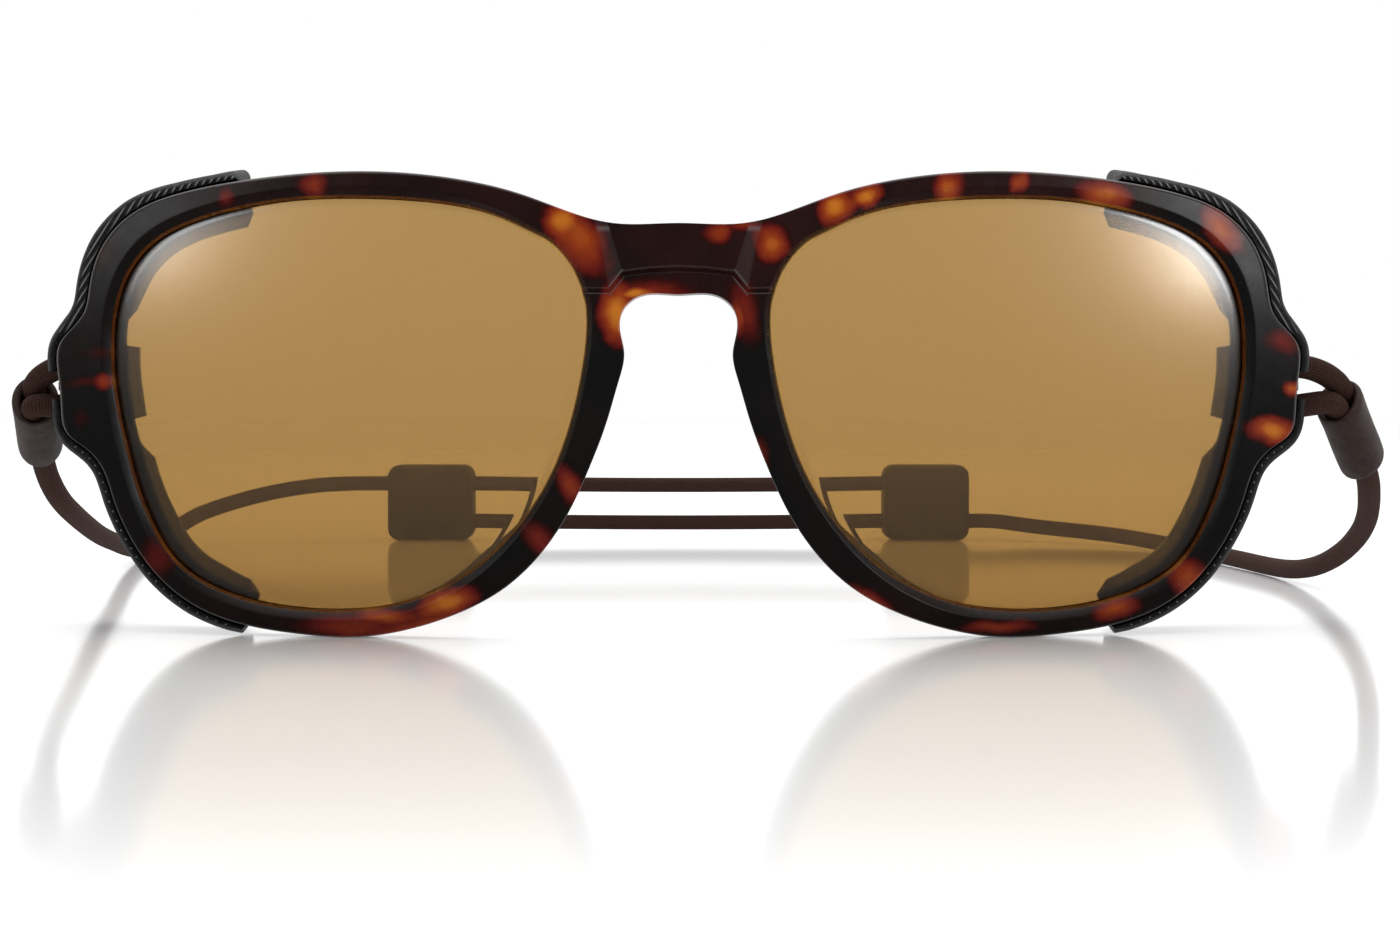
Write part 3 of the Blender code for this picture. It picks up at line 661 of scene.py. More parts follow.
def make_tube(name, points, material, spacing=0.7, sides=20):
    """A cord along the points, with the weave's coordinates. Returns it, its centres and its length."""
    centres, length = dense_route(points, spacing)
    centres = [world(*p) for p in centres]
    bm = bmesh.new()
    layer = bm.verts.layers.float_vector.new("weave")
    across = (centres[1] - centres[0]).orthogonal().normalized()
    rows, weave = [], []
    for i, centre in enumerate(centres):
        ahead = centres[min(i + 1, len(centres) - 1)] - centres[max(i - 1, 0)]
        axis = ahead.normalized()
        across = (across - axis * across.dot(axis)).normalized()
        other = axis.cross(across)
        row = []
        for j in range(sides):
            angle = 2 * math.pi * j / sides
            row.append(centre + (across * math.cos(angle) + other * math.sin(angle)) * CORD_RADIUS * MM)
            weave.append((2 * math.pi * i * spacing / WEAVE_PITCH, angle * WEAVE_TURNS, 0.0))
        rows.append(row)
    made = sweep(bm, rows)
    bm.faces.new(made[0])
    bm.faces.new(list(reversed(made[-1])))
    for vertex, value in zip([v for row in made for v in row], weave):
        vertex[layer] = value
    return object_from(name, bm, material, sharp=60), centres, length


def sleeve_frame(side):
    """The sleeve's mouth, its axis, and the direction from its lower strand to its upper one."""
    mouth = Vector(SLEEVE_MOUTH[side])
    axis = (Vector(SLEEVE_END[side]) - mouth).normalized()
    up = Vector((0, 0, 1))
    rise = (up - axis * up.dot(axis)).normalized()
    return mouth, axis, rise


def cord_points(side, route, height):
    """The whole cord: from the crimp through the nearer slider to its end in the farther one."""
    mouth, axis, _ = sleeve_frame(side)
    near = SLIDER_X - SLIDER_SIZE[0] / 2 - STRAND_START_GAP
    points = [mouth + axis * (CRIMP_END + 0.4), mouth + axis * SLEEVE_LENGTH, *route]
    points += [(side * (SLIDER_X + ENTRY_OFFSET), SLIDER_Y, height), (side * SLIDER_X, SLIDER_Y, height)]
    for share in np.linspace(1, -1, 9):
        points.append((side * near * share, SLIDER_Y, height - STRAND_SAG * (1 - share * share)))
    points.append((-side * (SLIDER_X + CORD_END_OFFSET), SLIDER_Y, height))
    return points


def make_cord(word, side, route, height, material):
    points = cord_points(side, route, height)
    tube, centres, length = make_tube("cord_" + word, points, material)
    far_body = "left_slider" if side > 0 else "right_slider"
    inner = SLIDER_X - SLIDER_SIZE[0] / 2 - 1.0
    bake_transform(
        tube, "front", far_body,
        start=world(side * inner, SLIDER_Y, height), end=world(-side * inner, SLIDER_Y, height),
    )
    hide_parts("cord_run_" + word, "cord_tail_" + word)
    return length


def make_loop(word, side, material):
    """The cord's front end: two strands from the sleeve, joined by a bend through the lug's hole."""
    mouth, axis, rise = sleeve_frame(side)
    leg_x, y = LUG_HOLE
    middle = LENS_HEIGHT + LUG_HEIGHT
    bend = []
    for degrees in (90, 120, 150, 165, 195, 210, 240, 270):
        angle = math.radians(degrees)
        x = leg_x + BEND_RADIUS * (1 + math.cos(angle))
        bend.append((side * x, y, middle + BEND_RADIUS * math.sin(angle)))
    strands = []
    for sign in (1, -1):
        end = mouth + rise * STRAND_OFFSET * sign
        strands.append([end + axis * 1.6, end - axis * STRAND_LEAD])
    points = [*strands[0], *bend, *reversed(strands[1])]
    tube, _, _ = make_tube("loop_" + word, points, material, spacing=0.3, sides=24)
    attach(tube, "front")
    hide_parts("cord_loop_" + word)


SLEEVE_SIDES = 48
SLEEVE_WAVE = 0.035  # how uneven the shrunk rubber is


def make_sleeve(word, side, material):
    """The shrink sleeve, with a lip round its mouth and a soft shoulder where it shrinks onto the cord."""
    mouth, axis, rise = sleeve_frame(side)
    across = axis.cross(rise)
    o, i = SLEEVE_OUTER, SLEEVE_INNER
    end = SLEEVE_LENGTH
    profile = [  # distance along the axis, half axes along rise and across
        (0.25, 2.98, 1.66), (0.06, 3.04, 1.8), (-0.05, 3.14, 2.1), (-0.06, o[0] - 0.14, o[1] - 0.2),
        (0.02, o[0] - 0.04, o[1] - 0.05), (0.16, *o), (0.8, o[0] + 0.02, o[1] + 0.02),
        (3.0, o[0] - 0.05, o[1] - 0.02), (6.0, o[0] + 0.01, o[1] - 0.03), (end - 2.5, *o),
        (end - 0.6, o[0] - 0.03, o[1] - 0.03), (end - 0.3, o[0] - 0.12, o[1] - 0.1),
        (end - 0.08, o[0] - 0.36, o[1] - 0.28), (end, o[0] - 0.7, o[1] - 0.5),
        (end + 0.02, 1.85, 1.8), (end - 0.25, 1.6, 1.6), (end - 1.5, 1.6, 1.6), (end - 2.0, *i), (1.2, *i),
    ]
    bm = bmesh.new()
    rows = []
    for along, half_rise, half_across in profile:
        row = []
        for k in range(SLEEVE_SIDES):
            angle = 2 * math.pi * k / SLEEVE_SIDES
            c, s = math.cos(angle), math.sin(angle)
            offset = rise * half_rise * c + across * half_across * s
            wave = SLEEVE_WAVE * noise.noise(Vector((c * 1.4, s * 1.4, along * 0.45)))
            row.append(world(*(mouth + axis * along + offset * (1 + wave / 3))))
        rows.append(row)
    sweep(bm, rows, closed_rows=True)
    sleeve = object_from("sleeve_" + word + "_rubber", bm, material)
    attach(sleeve, "front")
    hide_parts("sleeve_" + word)


SLIDER_EDGE = 1.1  # rounding of its front and back edges


def make_slider(word, side, material):
    """A rounded block with a hole for each cord."""
    width, depth, height = SLIDER_SIZE
    low = world(side * SLIDER_X - width / 2, SLIDER_Y - depth / 2, 0)
    high = world(side * SLIDER_X + width / 2, SLIDER_Y + depth / 2, height)
    bm = box_between(low, high)
    along_y = [e for e in bm.edges if abs(e.verts[0].co.y - e.verts[1].co.y) > depth * MM / 2]
    bevel(bm, along_y, SLIDER_CORNER * MM, 10)
    ends = [f for f in bm.faces if abs(f.normal.y) > 0.9]
    rims = {e for f in ends for e in f.edges}
    bevel(bm, list(rims), SLIDER_EDGE * MM, 6)
    slider = object_from("slider_" + word + "_rubber", bm, material)
    cutters = []
    for z in (HOLE_LOW, HOLE_HIGH):
        start = world(side * SLIDER_X - width, SLIDER_Y, z)
        end = world(side * SLIDER_X + width, SLIDER_Y, z)
        cutters.append(rod("hole", start, end, SLIDER_HOLE_RADIUS * MM))
    cut_away(slider, cutters)
    slider.data.set_sharp_from_angle(angle=math.radians(40))
    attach(slider, word + "_slider")
    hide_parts("slider_" + word)
    return slider


# ---- front

RIM_STEPS = 7
BRIDGE_STEPS = 30
FACE_STEPS = 9
ROUNDING_STEPS = 5
FACE_START = 2 * (ROUNDING_STEPS + 1)  # the section's last point before its flat face
FRONT_EDGE = FACE_START + FACE_STEPS  # the section's points between which its outer wall lies
BACK_EDGE = FRONT_EDGE + 2 * (ROUNDING_STEPS + 1) - 1
EDGE_HIGHLIGHT = (0.0, 0.16, 0.42, 0.42, 0.1)  # strength of the painted highlight across the rounding of the rim's outer front edge
GROOVE_START = 1.35
CREASE_CORNERS = [(0.0, 15.0), (3.1, 14.87), (6.15, 14.48), (7.7, 12.56), (10.6, 12.6)]  # x, z
CREASE_PROFILE = [  # distance above the crease, depth
    (-0.55, 0.12), (-0.36, 0.13), (-0.22, 0.22), (-0.08, 0.28), (0.04, 0.22), (0.2, 0.02),
    (0.34, -0.04), (0.5, 0.0),
]
FACET_INNER = [(14.48, 6.15), (20.2, 7.9)]  # z, x
FACET_OUTER = [(12.56, 7.75), (17.6, 8.7), (20.2, 9.4)]
FACET_RISE = 0.3


def front_place(co):
    """A point's x and z on the front view and its depth behind the front surface, in millimetres."""
    x, z = co.x / MM, co.z / MM - LENS_HEIGHT
    return x, z, co.y / MM + ORIGIN_BACK - surface(x, z)


def interpolated(value, pairs):
    """The second number of (first, second) pairs, at a value of the first."""
    return np.interp(value, [p[0] for p in pairs], [p[1] for p in pairs])


def paint(obj, name, values):
    """Sets an attribute at each point of an object."""
    layers = obj.data.attributes
    layer = layers.get(name) or layers.new(name, "FLOAT", "POINT")
    layer.data.foreach_set("value", values)


def pad_depth(key):
    share = (key - PAD_FIRST_KEY) / (PAD_LAST_KEY - PAD_FIRST_KEY)
    return PAD_DEPTH * math.sin(math.pi * share) ** 2 if 0 < share < 1 else 0.0


def rounded(points):
    """A section's places, from pairs of (corner, radius). A corner without a radius stays sharp."""
    made = []
    for i, (corner, radius) in enumerate(points):
        if radius is None:
            made.append(corner)
            continue
        before, after = points[i - 1][0], points[(i + 1) % len(points)][0]
        toward = [(p - corner) / max(np.linalg.norm(p - corner), 1e-9) * radius for p in (before, after)]
        for k in range(ROUNDING_STEPS + 1):
            t = k / ROUNDING_STEPS
            made.append(corner + toward[0] * (1 - t) ** 2 + toward[1] * t * t)
    return made


def rim_section(lens, lens_out, outer, outer_out, pad):
    """One slice through the rim, as points (x, z, depth). Its flat face has points at even steps."""
    width = np.linalg.norm(outer - lens)
    across = (outer - lens) / width

    def at(place, depth):
        return np.array([place[0], place[1], depth])

    square = float(np.dot(across, outer_out)) ** 2  # 0 where the slice runs along the edge, on the bridge
    edge = max(0.5 * square, 1e-6)
    heel = max((0.45 + 0.14 * pad) * square, 1e-6)
    back = FRONT_THICKNESS + pad
    chamfer = 0.66 + 0.56 * smoothstep(14.0, 32.0, lens[0])  # narrower beside the nose
    corners = [
        (at(lens, GROOVE_START), None),
        (at(lens + across * 0.26 * chamfer, 0.74), 0.09),
        (at(lens + across * chamfer, 0.0), 0.16),
        (at(outer, 0.0), edge),
        (at(outer - outer_out * PAD_FLARE * pad, back), heel),
        (at(lens + across * width * 0.38, FRONT_THICKNESS), 0.3),
        (at(lens + across * 0.35, FRONT_THICKNESS), 0.12),
        (at(lens, FRONT_THICKNESS - 0.3), 0.1),
        (at(lens, GROOVE_END), None),
        (at(lens + lens_out * GROOVE_REACH, GROOVE_END), None),
        (at(lens + lens_out * GROOVE_REACH, GROOVE_START), None),
    ]
    points = rounded(corners)
    first, last = points[FACE_START : FACE_START + 2]
    face = [first + (last - first) * k / FACE_STEPS for k in range(1, FACE_STEPS)]
    return points[: FACE_START + 1] + face + points[FACE_START + 1 :]


def rim_samples():
    """What rim_section needs, round one rim and along half of the bridge."""
    samples = []
    for i in range(LAST_KEY * RIM_STEPS + 1):
        key = i / RIM_STEPS
        lens_out, outer_out = outward(LENS_EDGE, key), outward(OUTER_EDGE, key)
        samples.append((LENS_EDGE(key), lens_out, OUTER_EDGE(key), outer_out, pad_depth(key)))
    top, bottom = OUTER_EDGE(0), OUTER_EDGE(LAST_KEY)
    for i in range(1, BRIDGE_STEPS):
        key = LAST_KEY + i / BRIDGE_STEPS
        middle = bottom + (top - bottom) * i / BRIDGE_STEPS
        samples.append((LENS_EDGE(key), outward(LENS_EDGE, key), middle, np.zeros(2), 0.0))
    return samples


def crease_distance(x, z):
    """How far a place on the bridge lies above the ridge across it, square to the ridge."""
    x = abs(x)
    height = z - interpolated(x, CREASE_CORNERS)
    return height * (0.63 if CREASE_CORNERS[2][0] < x < CREASE_CORNERS[3][0] else 1.0)


def bridge_relief(x, z):
    """The depth that the bridge's facets add to the front surface."""
    x = abs(x)
    if x > 11.5 or z < 2.0 or z > 21.0:
        return 0.0
    step = interpolated(crease_distance(x, z), CREASE_PROFILE)
    step *= smoothstep(2.0, 9.5, z)
    inner, outer = interpolated(z, FACET_INNER), interpolated(z, FACET_OUTER)
    proud = 1.0 - min(max((x - inner) / max(outer - inner, 0.01), 0.0), 1.0)
    above = smoothstep(-0.16, 0.1, crease_distance(x, z))
    return float(step - FACET_RISE * proud * above)


FINE_REGION = ((-0.1, 8.0), (11.2, 21.0))  # x and z of the part of the bridge that gets a fine mesh
FINE_CUTS = 9


def refine_bridge(bm):
    """Fine faces over the front of the bridge, to carry its ridge and facets."""
    low, high = FINE_REGION
    faces = []
    for face in bm.faces:
        x, z, depth = front_place(face.calc_center_median())
        if low[0] < x < high[0] and low[1] < z < high[1] and depth < 0.12:
            faces.append(face)
    edges = list({e for f in faces for e in f.edges})
    bmesh.ops.subdivide_edges(bm, edges=edges, cuts=FINE_CUTS, use_grid_fill=True)


# Amber patches of the tortoiseshell: middle x and z, half width and height, turn in degrees, strength
PATCHES = [
    (-11.2, 18.4, 2.6, 4.6, 40, 0.66), (-12.9, 20.2, 1.9, 2.0, 0, 0.95), (-6.7, 10.2, 2.0, 3.6, 6, 1.0),
    (-2.4, 12.0, 5.6, 1.9, -4, 0.36), (-4.6, 12.2, 2.6, 0.7, -4, 1.0), (4.4, 19.2, 2.0, 1.3, 12, 0.5),
    (7.6, 19.7, 2.4, 0.8, 0, 0.4), (10.3, 18.0, 1.9, 2.2, 0, 0.75), (17.5, 21.6, 2.2, 1.8, 20, 1.0),
    (21.0, 23.2, 2.0, 1.3, 20, 1.0), (30.4, 24.3, 1.8, 2.0, 0, 0.75), (38.8, 25.0, 1.1, 1.4, 0, 0.75),
    (48.6, 23.9, 3.4, 1.7, -15, 0.75), (62.6, 19.9, 1.8, 3.3, 38, 0.72), (-41.5, 24.7, 1.6, 1.7, 0, 0.45),
    (-51.5, 23.5, 1.1, 1.4, 0, 0.3), (-66.1, 2.4, 1.2, 1.2, 0, 0.5), (-68.0, 2.3, 3.4, 0.8, 0, 0.17),
    (-66.0, 6.0, 3.4, 1.1, 6, 0.13), (-68.8, -1.8, 1.4, 1.4, 0, 0.12), (-66.8, 17.8, 2.6, 3.2, 0, 0.1),
    (-60.0, -17.9, 2.4, 3.8, -30, 0.22), (-36.6, -25.2, 6.6, 1.9, 0, 0.42), (-33.0, -23.9, 4.6, 0.9, 4, 0.7),
    (-29.0, -24.9, 9.0, 1.6, 10, 0.5), (-26.0, -22.2, 3.6, 1.6, 22, 0.95), (-12.0, -9.0, 1.3, 2.4, 20, 0.5),
    (-15.5, -15.0, 1.5, 2.6, 35, 0.35), (8.7, -7.3, 1.4, 3.4, 0, 0.4), (21.4, -22.1, 3.4, 1.5, -25, 0.5),
    (36.0, -25.2, 4.5, 0.9, 0, 0.45), (49.7, -23.3, 2.8, 1.1, 10, 0.65), (71.2, 1.6, 1.6, 0.8, 0, 0.75),
    (68.6, -3.0, 2.9, 1.6, 0, 0.95), (69.6, 7.3, 2.6, 1.5, -15, 0.3), (58.4, -19.9, 2.0, 3.0, 40, 0.62),
    (7.2, 10.4, 1.9, 3.9, 12, 0.33), (6.5, 9.6, 0.9, 2.4, 10, 0.55),
]


PATCH_WANDER = 0.6  # millimetres by which noise moves a place before the patches are looked up


def patch_strength(x, z):
    """How amber the tortoiseshell is at a place, from 0 in the dark to 1 in the middle of a patch."""
    sideways = noise.noise(Vector((x * 0.28, z * 0.28, 3.7)))
    upwards = noise.noise(Vector((x * 0.28, z * 0.28, 21.3)))
    fine = noise.noise(Vector((x * 0.9, z * 0.9, 8.1)))
    x, z = x + PATCH_WANDER * sideways, z + PATCH_WANDER * upwards
    found = 0.0
    for cx, cz, half_x, half_z, turn, strength in PATCHES:
        angle = math.radians(turn)
        dx, dz = x - cx, z - cz
        u = (dx * math.cos(angle) + dz * math.sin(angle)) / half_x
        v = (dz * math.cos(angle) - dx * math.sin(angle)) / half_z
        inside = 1.3 - math.hypot(u, v) + 0.12 * fine
        if inside > 0:
            found = max(found, strength * min(1.0, inside / 1.05))
    return found


def crease_highlight(x, z):
    """Painted highlights on the two edges of the groove across the bridge, strongest where it slants."""
    if abs(x) > 10.6 or z < 11.5 or z > 16.0:
        return 0.0
    slant = smoothstep(5.9, 6.3, abs(x)) * (1 - smoothstep(7.6, 7.9, abs(x)))
    away = crease_distance(x, z)
    upper = 1 - smoothstep(0.0, 0.1, abs(away - 0.3))
    lower = 1 - smoothstep(0.0, 0.1, abs(away + 0.32))
    return (0.22 + 0.5 * slant) * max(upper, lower)


def facet_highlight(x, z):
    """Painted highlights on the slanting facets on either side of the bridge, brightest at the top."""
    x = abs(x)
    if x > 10.0 or z < 12.4 or z > 20.3:
        return 0.0
    inner, outer = interpolated(z, FACET_INNER), interpolated(z, FACET_OUTER)
    inside = smoothstep(inner - 0.08, inner + 0.08, x) * (1 - smoothstep(outer - 0.35, outer + 0.1, x))
    above = smoothstep(0.1, 0.35, crease_distance(x, z))
    return inside * above * (0.1 + 0.42 * smoothstep(19.0, 19.5, z) * (1 - smoothstep(19.6, 19.9, z)))


def warm_share(x, z):
    """The dark parts are red-brown along the brow and the bridge, and neutral elsewhere."""
    brow = smoothstep(6.0, 13.0, z) * (1 - smoothstep(42.0, 60.0, abs(x)))
    floor_side = 0.5 * (1 - smoothstep(-22.0, -16.0, z)) * (1 - smoothstep(48.0, 60.0, abs(x)))
    return max(brow, floor_side)


LUG_SIDES = 48
LUG_CHAMFER = 0.12
LUG_HOLE_SHARE = 0.93  # of the CAD hole's radius, so that the hole sits closer round the cord


def add_lug(bm, side):
    """A plate behind the endpiece, with an upright hole for the cord."""
    x0, x1 = LUG_X
    y0, y1 = LUG_Y
    hole_x, hole_y = LUG_HOLE
    radius = LUG_HOLE_RADIUS * LUG_HOLE_SHARE
    rim, hole = [], []
    for i in range(LUG_SIDES):
        angle = 2 * math.pi * (i + 0.5) / LUG_SIDES
        c, s = math.cos(angle), math.sin(angle)
        reach = min(((x1 if c > 0 else x0) - hole_x) / c, ((y1 if s > 0 else y0) - hole_y) / s)
        rim.append((hole_x + reach * c, hole_y + reach * s))
        hole.append((hole_x + radius * c, hole_y + radius * s))
    half = LUG_HALF_THICKNESS
    flat = half - LUG_CHAMFER
    middle = LENS_HEIGHT + LUG_HEIGHT
    sections = [
        (hole, -flat, 0.0), (hole, flat, 0.0), (hole, half, LUG_CHAMFER), (rim, half, -LUG_CHAMFER),
        (rim, flat, 0.0), (rim, -flat, 0.0), (rim, -half, -LUG_CHAMFER), (hole, -half, LUG_CHAMFER),
    ]
    rows = []
    for outline, lift, grow in sections:
        row = []
        for x, y in outline:
            away = math.hypot(x - hole_x, y - hole_y)
            k = (away + grow) / away
            row.append(world(side * (hole_x + (x - hole_x) * k), hole_y + (y - hole_y) * k, middle + lift))
        rows.append(row)
    sweep(bm, rows, closed_rows=True)


def add_rim_faces(bm, rows):
    """Quads round the rim. The two halves of the bridge stay open where they meet."""
    for i, row in enumerate(rows):
        following = rows[(i + 1) % len(rows)]
        on_bridge = i >= LAST_KEY * RIM_STEPS
        for j in range(len(row)):
            if on_bridge and FRONT_EDGE <= j < BACK_EDGE:
                continue
            k = (j + 1) % len(row)
            bm.faces.new((row[j], row[k], following[k], following[j]))


def make_front(material):
    bm = bmesh.new()
    wall = bm.verts.layers.float.new("opening_wall")
    painted_highlight = bm.verts.layers.float.new("painted_highlight")
    rows = [[bm.verts.new(placed(*p)) for p in rim_section(*sample)] for sample in rim_samples()]
    add_rim_faces(bm, rows)
    for row in rows:
        for v in row[:2]:
            v[wall] = 1.0
        # Painted highlight along the rounding of the rim's outer front edge, on its upper outer sides.
        for v, strength in zip(row[FRONT_EDGE : FRONT_EDGE + 5], EDGE_HIGHLIGHT):
            x, z, _ = front_place(v.co)
            v[painted_highlight] = strength * smoothstep(30.0, 50.0, x) * smoothstep(-14.0, 2.0, z)
    bmesh.ops.remove_doubles(bm, verts=bm.verts, dist=MERGE_DISTANCE)
    refine_bridge(bm)
    for v in bm.verts:
        x, z, depth = front_place(v.co)
        v.co.y += bridge_relief(x, z) * (1 - smoothstep(0.5, 1.3, depth)) * MM
    mirror_x(bm)
    front = object_from("front", bm, material, sharp=50)
    places = [front_place(v.co) for v in front.data.vertices]
    paint(front, "patch", [patch_strength(x, z) for x, z, _ in places])
    # The painted highlights of the bridge's groove and facets join the edge's painted highlight.
    edges = [item.value for item in front.data.attributes["painted_highlight"].data]
    lines = [crease_highlight(x, z) + facet_highlight(x, z) if depth < 1.0 else 0.0 for x, z, depth in places]
    paint(front, "painted_highlight", [max(pair) for pair in zip(edges, lines)])
    paint(front, "warmth", [warm_share(x, z) for x, z, _ in places])
    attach(front, "front")
    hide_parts("front_frame")
    for word, side in SIDES:
        plate = bmesh.new()
        add_lug(plate, side)
        lug = object_from("lug_" + word, plate, material)
        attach(lug, "front")


LENS_RINGS = 14
LENS_CHAMFER = 0.15
LENS_FLAT = 0.995  # share of the lens inside its chamfer


def make_lens(word, side, material):
    """A lens in rings round its middle: the front face, the edge in its groove, and the back face."""
    keys = [i / RIM_STEPS for i in range((LAST_KEY + 1) * RIM_STEPS)]
    middle = np.mean([LENS_EDGE(key) for key in keys], axis=0)
    edge = [LENS_EDGE(key) + outward(LENS_EDGE, key) * LENS_REACH for key in keys]
    shares = [k / LENS_RINGS for k in range(1, LENS_RINGS)] + [LENS_FLAT]
    rings = [(s, LENS_FRONT) for s in shares] + [(1.0, LENS_FRONT + LENS_CHAMFER)]
    rings += [(1.0, LENS_BACK - LENS_CHAMFER)] + [(s, LENS_BACK) for s in reversed(shares)]

    def at(place, depth):
        p = placed(*place, depth)
        return side * p.x, p.y, p.z

    bm = bmesh.new()
    made = sweep(bm, [[at(middle + (place - middle) * s, depth) for place in edge] for s, depth in rings])
    for ring, depth in ((made[0], LENS_FRONT), (made[-1], LENS_BACK)):
        hub = bm.verts.new(at(middle, depth))
        for a, b in zip(ring, ring[1:] + ring[:1]):
            bm.faces.new((a, b, hub))
    lens = object_from("lens_" + word + "_amber", bm, material, sharp=50)
    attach(lens, "front")
    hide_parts("lens_" + word)


# ---- side shields

RIB_FIRST_KEY, RIB_LAST_KEY = 7.78, 14.55

# Boxes cut from the wall for the cord: their sides' x, y and z, and the radius of their edges
OPENINGS = (
    ((66.2, 80.0), (14.3, 21.6), (-2.3, 6.5), 1.0),
    ((66.2, 80.0), (7.0, 17.0), (0.6, 3.75), 0.5),
)

SHIELD_STEPS = 16
LIP_STEPS = 8
WALL_STEPS = 12
INNER_STEPS = 6
SHIELD_CORNERS = ((7.8, 0.9), (25.0, 0.3))  # rim key of each end, and the radius of its outer corner


def shield_curves():
    """The shield's back edge and its two reaches, as functions of the rim key."""
    keys = [row[0] for row in SHIELD]
    smooth_rows = [row for row in SHIELD if row[0] not in SHIELD_JUMPS]
    back_keys = [row[0] for row in smooth_rows]
    back = smooth_curve([row[1:4] for row in smooth_rows])

    def at(key):
        back_edge = back(np.interp(key, back_keys, range(len(back_keys))))
        out, inside = (np.interp(key, keys, [row[i] for row in SHIELD]) for i in (4, 5))
        return back_edge, out, inside

    return at


def beside(start, direction):
    """A function of reach and depth, which gives a point (x, back, height) beside a place on the front."""

    def at(reach, depth):
        x, z = start + direction * reach
        return np.array([x, surface(x, z) + depth, z + LENS_HEIGHT])

    return at


def corner_drop(place):
    """How much an end's rounded corner takes off the shield's outer edge at a place on the rim."""
    drop = 0.0
    for end_key, radius in SHIELD_CORNERS:
        left = max(radius - np.linalg.norm(place - OUTER_EDGE(end_key)), 0.0)
        drop += radius - math.sqrt(radius * radius - left * left)
    return drop


def shield_section(key, curves):
    """One slice: lip, outer wall, back edge, inner wall, web, as points (x, back, height)."""
    back, reach_out, reach_in = curves(key)
    outer, out = OUTER_EDGE(key), outward(OUTER_EDGE, key)
    drop = corner_drop(outer)
    reach_out = max(reach_out - drop, 0.62)
    lens = LENS_EDGE(key)
    inward = (lens - outer) / np.linalg.norm(lens - outer)
    by_rim, by_lens = beside(outer, out), beside(lens, inward)
    out3, back3 = np.array([out[0], 0.0, out[1]]), np.array([0.0, 1.0, 0.0])
    edge = np.array([back[0], back[2], back[1] + LENS_HEIGHT]) - out3 * drop
    web_front, web_back = SHIELD_WEB
    lip_in, lip_out = by_rim(SHIELD_GAP, 0.75), by_rim(reach_out - 0.45, 0.8)
    shoulder = by_rim(reach_out, 1.9)
    points = [lip_in]
    for k in range(1, LIP_STEPS):
        t = k / LIP_STEPS
        points.append(lip_in + (lip_out - lip_in) * t - back3 * 0.16 * math.sin(math.pi * t))
    points += [lip_out, (lip_out * 0.6 + shoulder * 0.4) + out3 * 0.14]
    points.append((lip_out * 0.2 + shoulder * 0.8) + out3 * 0.1)
    for k in range(WALL_STEPS + 1):
        t = k / WALL_STEPS
        points.append(shoulder + (edge - out3 * 0.25 - shoulder) * t)
    inner_root = by_rim(0.1, web_back)
    inner_edge = edge - out3 * SHIELD_WALL
    points += [edge - out3 * 0.3 + back3 * 0.18, edge - out3 * (SHIELD_WALL - 0.2) + back3 * 0.12]
    for k in range(INNER_STEPS + 1):
        points.append(inner_edge + (inner_root - inner_edge) * k / INNER_STEPS)
    points += [by_lens(reach_in - 0.25, web_back - 0.25), by_lens(reach_in, web_back - 0.55)]
    points += [by_lens(reach_in, web_front + 0.25), by_lens(reach_in - 0.2, web_front)]
    points.append(by_rim(SHIELD_GAP, web_front))
    return points


def ribbed_share(key, number):
    """Where the slanting ribs lie on a slice: on the part of the upper lip that is nearer the rim."""
    along = smoothstep(RIB_FIRST_KEY, RIB_FIRST_KEY + 0.04, key)
    along *= 1 - smoothstep(RIB_LAST_KEY - 0.12, RIB_LAST_KEY, key)
    across = number / LIP_STEPS
    return along * smoothstep(0.02, 0.2, across) * (1 - smoothstep(0.62, 0.85, across))


def shield_keys():
    """The rim keys of the shield's slices: even steps, its rounded ends, and the rows of its table."""
    first, last = SHIELD[0][0], SHIELD[-1][0]
    even = np.linspace(first, last, round((last - first) * SHIELD_STEPS))
    corners = [first + step for step in (0.01, 0.03, 0.06, 0.1)] + [last - step for step in (0.02, 0.05)]
    return sorted({*even, *corners, *(row[0] for row in SHIELD)})


def opening_cutter(side, xs, ys, zs, radius):
    """A rounded box to cut out of the shield's wall."""
    corners = [world(side * x, y, z + LENS_HEIGHT) for x, y, z in zip(xs, ys, zs)]
    low, high = ([pick(pair) for pair in zip(*corners)] for pick in (min, max))
    bm = box_between(low, high)
    bevel(bm, list(bm.edges), radius * MM, 4)
    return object_from("opening", bm)


def make_shield(word, side, material):
    curves = shield_curves()
    bm = bmesh.new()
    ribbed = bm.verts.layers.float.new("ribbed")
    keys = shield_keys()
    sections = [shield_section(key, curves) for key in keys]
    made = sweep(bm, [[world(side * x, y, z) for x, y, z in section] for section in sections])
    for key, row in zip(keys, made):
        for number in range(LIP_STEPS + 1):
            row[number][ribbed] = ribbed_share(key, number)
    for end in (made[0], made[-1]):
        close_end(bm, end)
    shield = object_from("shield_" + word + "_rubber", bm, material, sharp=35)
    cut_away(shield, [opening_cutter(side, *opening) for opening in OPENINGS])
    shield.data.set_sharp_from_angle(angle=math.radians(35))
    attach(shield, word + "_shield")
    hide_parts("shield_" + word)
    add_glint_dots(word, side)


def close_end(bm, ring):
    """Fills an end slice of the shield, whose outline bends round the rim's edge."""
    wall = LIP_STEPS + 3 + WALL_STEPS
    root = wall + 2 + INNER_STEPS + 1
    outer = ring[: wall + 1]
    inner = list(reversed(ring[wall + 1 : root + 1]))
    web = ring[root:]
    front, span = outer[: LIP_STEPS + 2], outer[LIP_STEPS + 1 :]
    bm.faces.new([*front, inner[0], web[-1]])
    steps = len(inner) - 1
    for k in range(steps):
        a, b = (round(n * (len(span) - 1) / steps) for n in (k, k + 1))
        bm.faces.new([*span[a : b + 1], inner[k + 1], inner[k]])
    bm.faces.new(web)


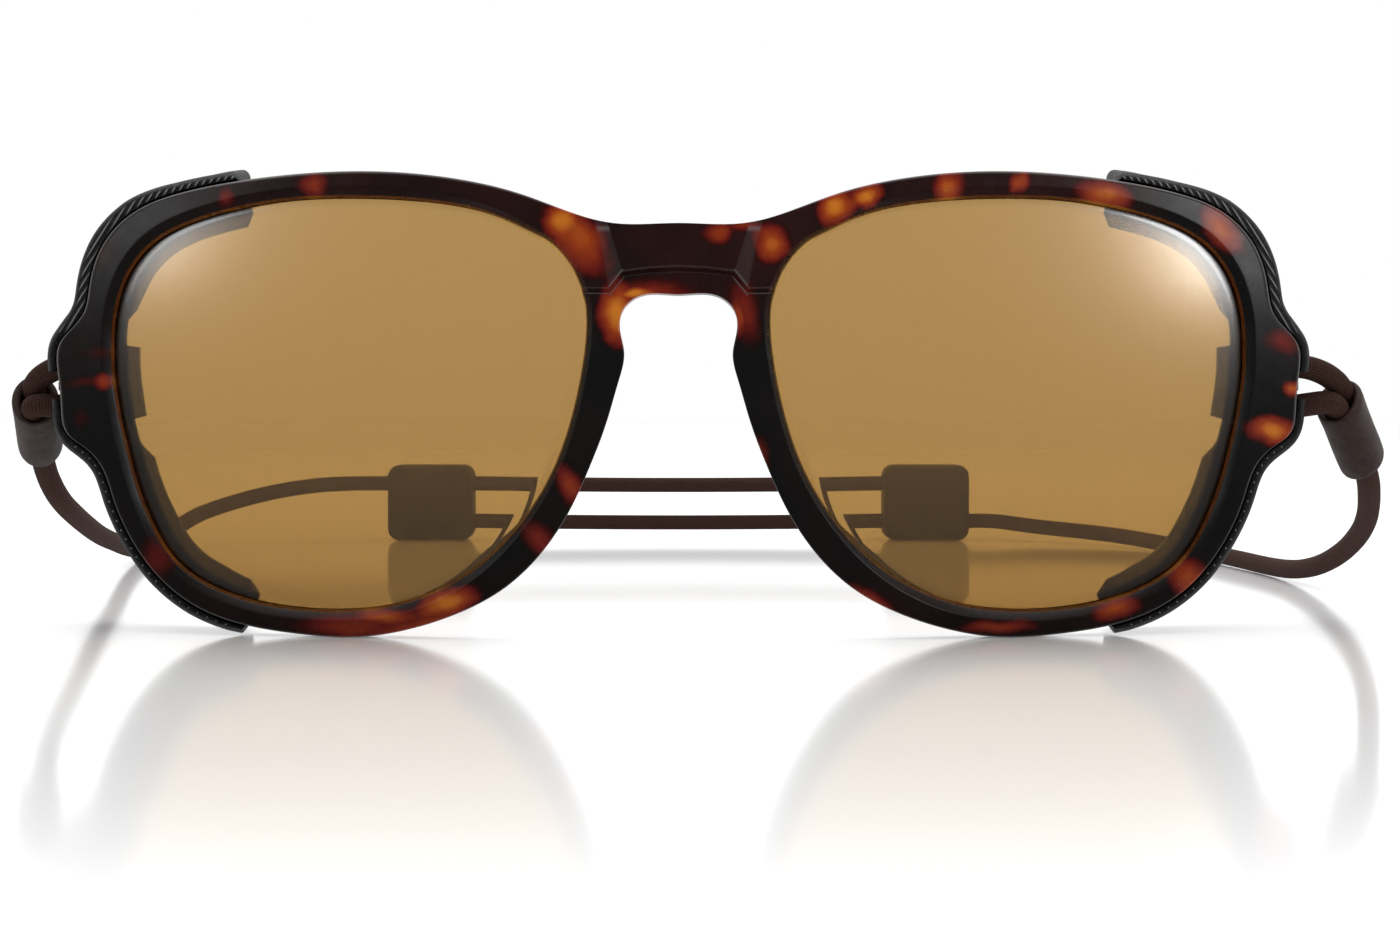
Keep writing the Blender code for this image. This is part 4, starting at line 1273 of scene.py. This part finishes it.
DOT_SPACING = 1.15
DOT_RADIUS = 0.13
DOT_KEYS = (18.3, 24.8)
DOT_KEY_STEP = 0.01
DOT_SHARE = 0.25  # of the way across the lip
DOT_DEPTH = 0.68


def add_glint_dots(word, side):
    """A row of tiny light-grey dots along the lower lip, just outside the rim, which stand for painted
    glints.
    """
    bm = bmesh.new()
    curves = shield_curves()
    key, last = DOT_KEYS
    travelled = 0.0
    previous = OUTER_EDGE(key)
    while key < last:
        key += DOT_KEY_STEP
        here = OUTER_EDGE(key)
        travelled += np.linalg.norm(here - previous)
        previous = here
        if travelled < DOT_SPACING:
            continue
        travelled = 0.0
        reach = SHIELD_GAP + DOT_SHARE * (curves(key)[1] - SHIELD_GAP)
        x, z = here + outward(OUTER_EDGE, key) * reach
        place = Matrix.Translation(world(side * x, surface(x, z) + DOT_DEPTH, z + LENS_HEIGHT))
        bmesh.ops.create_icosphere(bm, subdivisions=2, radius=DOT_RADIUS * MM, matrix=place)
    # The dots' light grey is a painted glint on the black rubber.
    pale = soft_plastic("painted_glints_" + word, grey(0.1), grey(0.22), 0.5)
    dots = object_from("shield_" + word + "_dots", bm, pale)
    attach(dots, word + "_shield")


# ---- everything in place

make_camera()
cord = cord_material()
slider_rubber = soft_plastic("slider_rubber", (0.021, 0.013, 0.0105), (0.033, 0.021, 0.017), 0.5)
sliders = {word: make_slider(word, side, slider_rubber) for word, side in SIDES}
lengths = {
    "right": make_cord("right", 1, ROUTE_RIGHT, HOLE_LOW, cord),
    "left": make_cord("left", -1, ROUTE_LEFT, HOLE_HIGH, cord),
}
print("cord lengths, mm:", {word: round(length, 1) for word, length in lengths.items()})

make_world()
make_stage()

tortoise = tortoise_material()
amber = lens_material()
rubber = rubber_material()
shrink = soft_plastic("shrink_sleeve", (0.026, 0.0125, 0.0098), (0.042, 0.0215, 0.0175), 0.56)
metal = metal_material()
make_front(tortoise)
for word, side in SIDES:
    make_lens(word, side, amber)
    make_shield(word, side, rubber)
    make_loop(word, side, cord)
    make_sleeve(word, side, shrink)
    for node in ("crimp_" + word, "cord_stop_" + word):
        materials = frame["nodes"][node].data.materials
        materials.clear()
        materials.append(metal)
